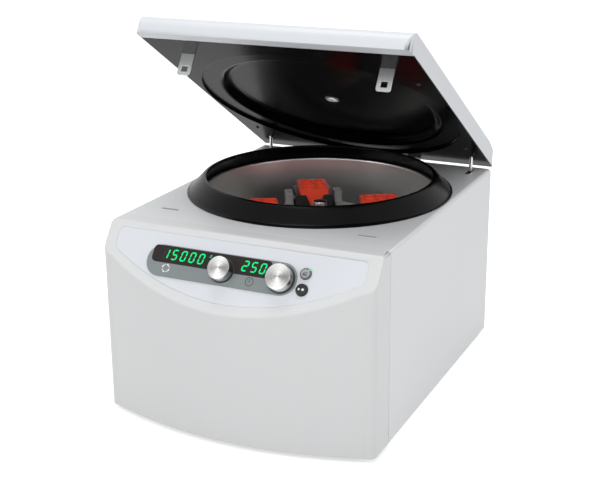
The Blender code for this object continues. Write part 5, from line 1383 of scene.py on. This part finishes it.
@dataclass
class Rotor:
    """Swing-out rotor: cross, nut, buckets and adapters."""

    azimuth: float = math.radians(31)
    reach: float = 0.097
    drop: float = 0.042
    above: float = 0.022
    hole: float = 0.0084
    pitch_out: float = 0.0185
    pitch_side: float = 0.020

    def build(self) -> None:
        """Skin the castings and mouldings, and add the nut and the holes' lips."""
        skinned("rotor_cross", CAST, 0.0004)
        skinned("spindle", ROD)
        self._nut()
        for number in range(4):
            self._place(number)

    def _nut(self) -> None:
        """Clamping nut with a domed top, whose radius ripples by a tenth of a millimetre as a grip."""
        low, radius = -0.034, 0.013
        corners = [
            (0, 0.014), (radius - 0.004, 0.014), (radius - 0.002, 0.013), (radius - 0.001, 0.004),
            (radius, 0.004), (radius, 0)
        ]
        corners += [(0.0043, 0), (0.0043, 0.010), (0, 0.010)]
        shape = turned(eased(corners, 0.0005), 144)
        angle = np.arctan2(shape.points[:, 1], shape.points[:, 0])
        size = np.hypot(shape.points[:, 0], shape.points[:, 1])
        grip = (size > 0.0105) & (shape.points[:, 2] > 0.0045)
        ripple = 1 - 0.012 * grip * (1 + np.cos(angle * 36)) / 2
        points = shape.points * np.stack([ripple, ripple, np.ones_like(ripple)], axis=1)
        nut = Surface(points, shape.faces).on(AXIS.at(z=low))
        built("rotor_nut_spun", nut, spun_finish("spun nut", AXIS), "rotor", "rotor_nut")

    def _place(self, number: int) -> None:
        """One bucket and its adapter, with a raised lip round each tube hole."""
        skinned(f"bucket_{number + 1}", BLACK, 0.0004)
        skinned(f"adapter_{number + 1}", RED, 0.0004)
        angle = self.azimuth + number * math.pi / 2
        x, y = self.reach * math.cos(angle), self.reach * math.sin(angle)
        spot = AXIS.at(x, y, self.above - self.drop).spun(angle)
        corners = [
            (self.hole - 0.00005, -0.0012), (self.hole - 0.00005, 0.0003), (self.hole + 0.0004, 0.0006)
        ]
        corners += [(self.hole + 0.0008, 0.0002), (self.hole + 0.0008, -0.0012)]
        lip = turned(eased(corners, 0.0003, 3, True), 40, True)
        lips = [
            lip.on(spot.at(row * self.pitch_out, (column - 0.5) * self.pitch_side))
            for row in (-1, 0, 1)
            for column in (0, 1)
        ]
        built(f"tube_lips_{number + 1}", together(lips), RED, f"bucket_set_{number + 1}")


@dataclass
class Lid:
    """Moulded lid with its pressed liner, plug, straps and hinge leaves."""

    half: float = 0.2137
    length: float = 0.490
    centre: float = 0.2248
    thickness: float = 0.0018
    strap_x: float = 0.160
    strap_s: float = 0.417

    def build(self) -> None:
        """Everything that turns with the lid."""
        skinned("lid_shell", LID_SHELL)
        self._liner()
        self._plug()
        for word in ("left", "right"):
            skinned(f"latch_strap_{word}", STRAP_STEEL, 0.0003)
            skinned(f"hinge_leaf_{word}", ZINC, 0.0003)
            skinned(f"strut_stud_{word}", ZINC, 0.0003)
        self._screws()

    def _liner(self) -> None:
        """Pressed black sheet.

        Each row is a ring r(a) about the recess's middle at a depth; the outermost follows the
        rectangle: r = min(half / |cos a|, front or back / |sin a|).
        """
        front, back = self.length - 0.020 - GAP - self.centre, self.centre - GAP
        corner = [math.atan2(y, x) % (2 * math.pi) for x in (-self.half, self.half) for y in (-front, back)]
        angle = np.union1d(np.linspace(0, 2 * np.pi, 240, endpoint=False), corner)
        cosine, sine = np.cos(angle), np.sin(angle)
        limit = np.where(sine > 0, back, front)
        edge = np.minimum(self.half / np.maximum(abs(cosine), 1e-6), limit / np.maximum(abs(sine), 1e-6))
        corners = [
            (0.2115, 0.0), (0.2098, 0.0), (0.2075, 0.0045), (0.178, 0.0045), (0.167, 0.0165), (0.0088, 0.0165)
        ]
        rings = eased(corners, np.array([0, 0.0012, 0.0012, 0.005, 0.007, 0]), 8)
        middle = HINGE_BEHIND - self.centre
        rows = [(edge, 0.0), (0.5 * edge + 0.5 * 0.2115, 0.0)] + [(0 * edge + r, n) for r, n in rings]
        points = np.stack(
            [np.stack([r * cosine, middle + r * sine, 0 * r + LID_UNDER + n], axis=-1) for r, n in rows]
        )
        surface = grid(points, False, True).on(LID)
        liner = built("lid_liner_pressed", surface, LINER, "lid", "lid_liner")
        towards = np.array([face.normal for face in liner.data.polygons]) @ np.array(LID.z)
        if towards.mean() > 0:
            liner.data.flip_normals()
        wall = liner.modifiers.new("sheet", "SOLIDIFY")
        wall.thickness = self.thickness
        wall.offset = -1.0
        wall.use_even_offset = True
        carved(liner, self._slots())

    def _slots(self) -> list[Surface]:
        """Cutters for the straps, the struts' rods and the hinge leaves."""
        cutters = []
        for side in (-1, 1):
            sizes = [
                (self.strap_x, self.strap_s, 0.0231, 0.0026, 0.0002), (0.1865, 0.0375, 0.010, 0.017, 0.0045)
            ]
            sizes += [(0.077, 0.00685, 0.0246, 0.0031, 0.0002)]
            for x, s, wide, tall, reach in sizes:
                spot = lid_place(side * x, s, 0.0)
                cutters.append(plate(oblong(wide, tall, reach, 6), -0.006, 0.006).on(spot))
        return cutters

    def _plug(self) -> None:
        """Clear plug through the lid with a chamfered flange."""
        low, flange, high = 0.0165 - GAP - SHEET, 0.0162, 0.031 - 0.0006
        corners = [(0, low), (0.0095, low), (0.0115, low + 0.0008), (0.0115, flange), (0.0085, flange)]
        corners += [(0.0085, high - 0.0004), (0.0081, high), (0, high)]
        shape = turned(eased(corners, 0.0003), 64)
        built("peephole_plug", shape.on(lid_place(0.0, self.centre, 0.0)), CLEAR, "lid", "peephole")

    def _screws(self) -> None:
        """Black screws at the liner's four corners."""
        under = [(x, s) for x in (-0.190, 0.190) for s in (0.090, 0.366)]
        flipped = ((1.0, 0.0, 0.0), (0.0, -1.0, 0.0), (0.0, 0.0, -1.0))
        screws(
            "liner_screws", [lid_place(x, s, 0.0).facing(*flipped) for x, s in under], 0.0034, "lid", SCREW
        )


@dataclass
class GasStrut:
    """One gas strut: barrel with end collars, bright rod and two eyes.

    Args:
        word: left or right.
        side: -1 or 1.
    """

    word: str
    side: int
    x: float = 0.1865
    low_y: float = REAR_Y - 0.050
    low_z: float = 0.047
    length: float = 0.28408
    tilt: float = -0.10996
    eye: float = 0.0075
    half: float = 0.003
    barrel: float = 0.0085

    def build(self) -> None:
        """Barrel, rod and the foot bracket."""
        cosine, sine = math.cos(self.tilt), math.sin(self.tilt)
        base = Place(
            (self.side * self.x, self.low_y, self.low_z), y=(0.0, cosine, sine), z=(0.0, -sine, cosine)
        )
        self._barrel(base)
        self._rod(base)
        skinned(f"strut_foot_{self.word}", ZINC, 0.0003)

    def _eye(self, bore: float) -> Surface:
        """Eye ring lying across the strut: a closed profile turned about X."""
        corners = [(bore, -self.half), (self.eye, -self.half), (self.eye, self.half), (bore, self.half)]
        shape = turned(eased(corners, 0.0006, 3, True), 48, True)
        return shape.on(Place((0.0, 0.0, 0.0), (0.0, 1.0, 0.0), (0.0, 0.0, 1.0), (1.0, 0.0, 0.0)))

    def _barrel(self, base: Place) -> None:
        """Barrel with a crimped neck at its lower end and a rolled shoulder at its upper."""
        radius, neck, top = self.barrel, 0.016, 0.150
        corners = [
            (0, 0.0055), (0.0027, 0.0055), (0.0027, neck - 0.003), (radius - 0.001, neck),
            (radius, neck + 0.002)
        ]
        corners += [
            (radius, top - 0.010), (radius - 0.0006, top - 0.009), (radius - 0.0006, top - 0.008),
            (radius, top - 0.007)
        ]
        corners += [
            (radius, top - 0.003), (radius - 0.0015, top), (0.0034, top), (0.0034, top - 0.1), (0, top - 0.1)
        ]
        body = turned(eased(corners, 0.0006), 64)
        built(
            f"strut_barrel_{self.word}_enamel", (body + self._eye(0.0033)).on(base), BARREL,
            f"strut_barrel_{self.word}", f"strut_cylinder_{self.word}",
        )

    def _rod(self, base: Place) -> None:
        """Bright rod with a plain end cap and its eye."""
        start = 0.150 - 0.060 - self.length
        corners = [(0, start), (0.0029, start), (0.0030, start + 0.0005), (0.0030, -0.0125), (0.0042, -0.012)]
        corners += [(0.0042, -0.0068), (0.0034, -0.006), (0, -0.006)]
        body = turned(eased(corners, 0.0004), 48)
        built(
            f"strut_rod_{self.word}_bright", (body + self._eye(0.0044)).on(base.at(z=self.length)), ROD,
            f"strut_plunger_{self.word}", f"strut_rod_{self.word}",
        )


@dataclass
class RearFittings:
    """Inlet, switch, hinge brackets and latches."""

    inlet_x: float = 0.135
    inlet_z: float = 0.061
    switch_rise: float = 0.016

    def build(self) -> None:
        """Skin the mouldings and brackets, and add the switch's marks."""
        skinned("inlet_module", BLACK, 0.0003)
        skinned("power_switch", SWITCH, 0.0004)
        for word in ("left", "right"):
            skinned(f"hinge_bracket_{word}", ZINC, 0.0003)
            skinned(f"latch_unit_{word}", BLACK, 0.0004)
        self._marks()
        self._bracket_screws()
        self._prongs()

    def _marks(self) -> None:
        """A ring as the off mark, on the rocker's upper face, and a bar as the on mark.

        Each mark follows a line fitted to the outermost corners of its half. The lower half has only
        two, at one height, so the bar's line is ill-conditioned and the bar stands off the rocker.
        """
        _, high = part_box("power_switch")
        back = Place(
            (self.inlet_x, high.y, self.inlet_z + self.switch_rise), (-1, 0, 0), (0, 0, 1), (0, 1, 0)
        )
        points = corner_points(frame["nodes"]["power_switch"].data)
        for name, upper in (("off_mark", True), ("on_mark", False)):
            half = points[(points[:, 2] > back.origin[2]) == upper]
            crest = half[half[:, 1] > np.quantile(points[:, 1], 0.3)]
            level, slope = np.polyfit(crest[:, 2], crest[:, 1], 1)[::-1]
            z = back.origin[2] + (0.0062 if upper else -0.0062)
            lean = math.atan(slope)
            spot = Place(
                (self.inlet_x, level + slope * z, z), (-1.0, 0.0, 0.0),
                (0.0, math.sin(lean), math.cos(lean)), (0.0, math.cos(lean), -math.sin(lean)),
            )
            bar = plate(oblong(0.0007, 0.0042), -0.0003, 0.0001)
            shape = ring(0.0015, 0.0021, -0.0003, 0.0001, 32) if upper else bar
            built(name, shape.on(spot), INK_WHITE, "mains_rocker")

    def _bracket_screws(self) -> None:
        """Two screws in each hinge bracket's plate."""
        low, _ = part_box("hinge_bracket_left")
        face = REAR_FACE_Y + GAP + 0.0025
        back = Place((0.0, face, 0.0), (1, 0, 0), (0, 0, -1), (0, 1, 0))
        spots = [back.at(side * 0.077 + x, -(low.z + 0.006)) for side in (-1, 1) for x in (-0.021, 0.021)]
        screws("bracket_screws", spots, 0.0028, "housing", BRIGHT_SCREW)

    def _prongs(self) -> None:
        """Bright sleeves over the inlet's three prongs."""
        floor = REAR_FACE_Y + GAP + 0.002 - 0.016
        parts = []
        for column in (-1, 0, 1):
            z = self.inlet_z - 0.016 + (0.002 if column == 0 else -0.002)
            spot = Place((self.inlet_x + column * 0.007, floor, z), (1, 0, 0), (0, 0, -1), (0, 1, 0))
            parts.append(plate(oblong(0.00212, 0.00412, 0.0003, 2), 0.0003, 0.01306, 0.0004).on(spot))
        built("inlet_prongs", together(parts), BRIGHT_SCREW, "housing")


def main() -> None:
    """Build the scene."""
    logging.basicConfig(level=logging.INFO, format="%(name)s: %(message)s")
    assemblies = [Studio(), Housing(), ControlPanel(), Bowl(), Rotor(), Lid()]
    assemblies += [GasStrut("left", -1), GasStrut("right", 1), RearFittings()]
    for assembly in assemblies:
        log.info("building %s", type(assembly).__name__)
        assembly.build()


if __name__ == "__main__":
    main()
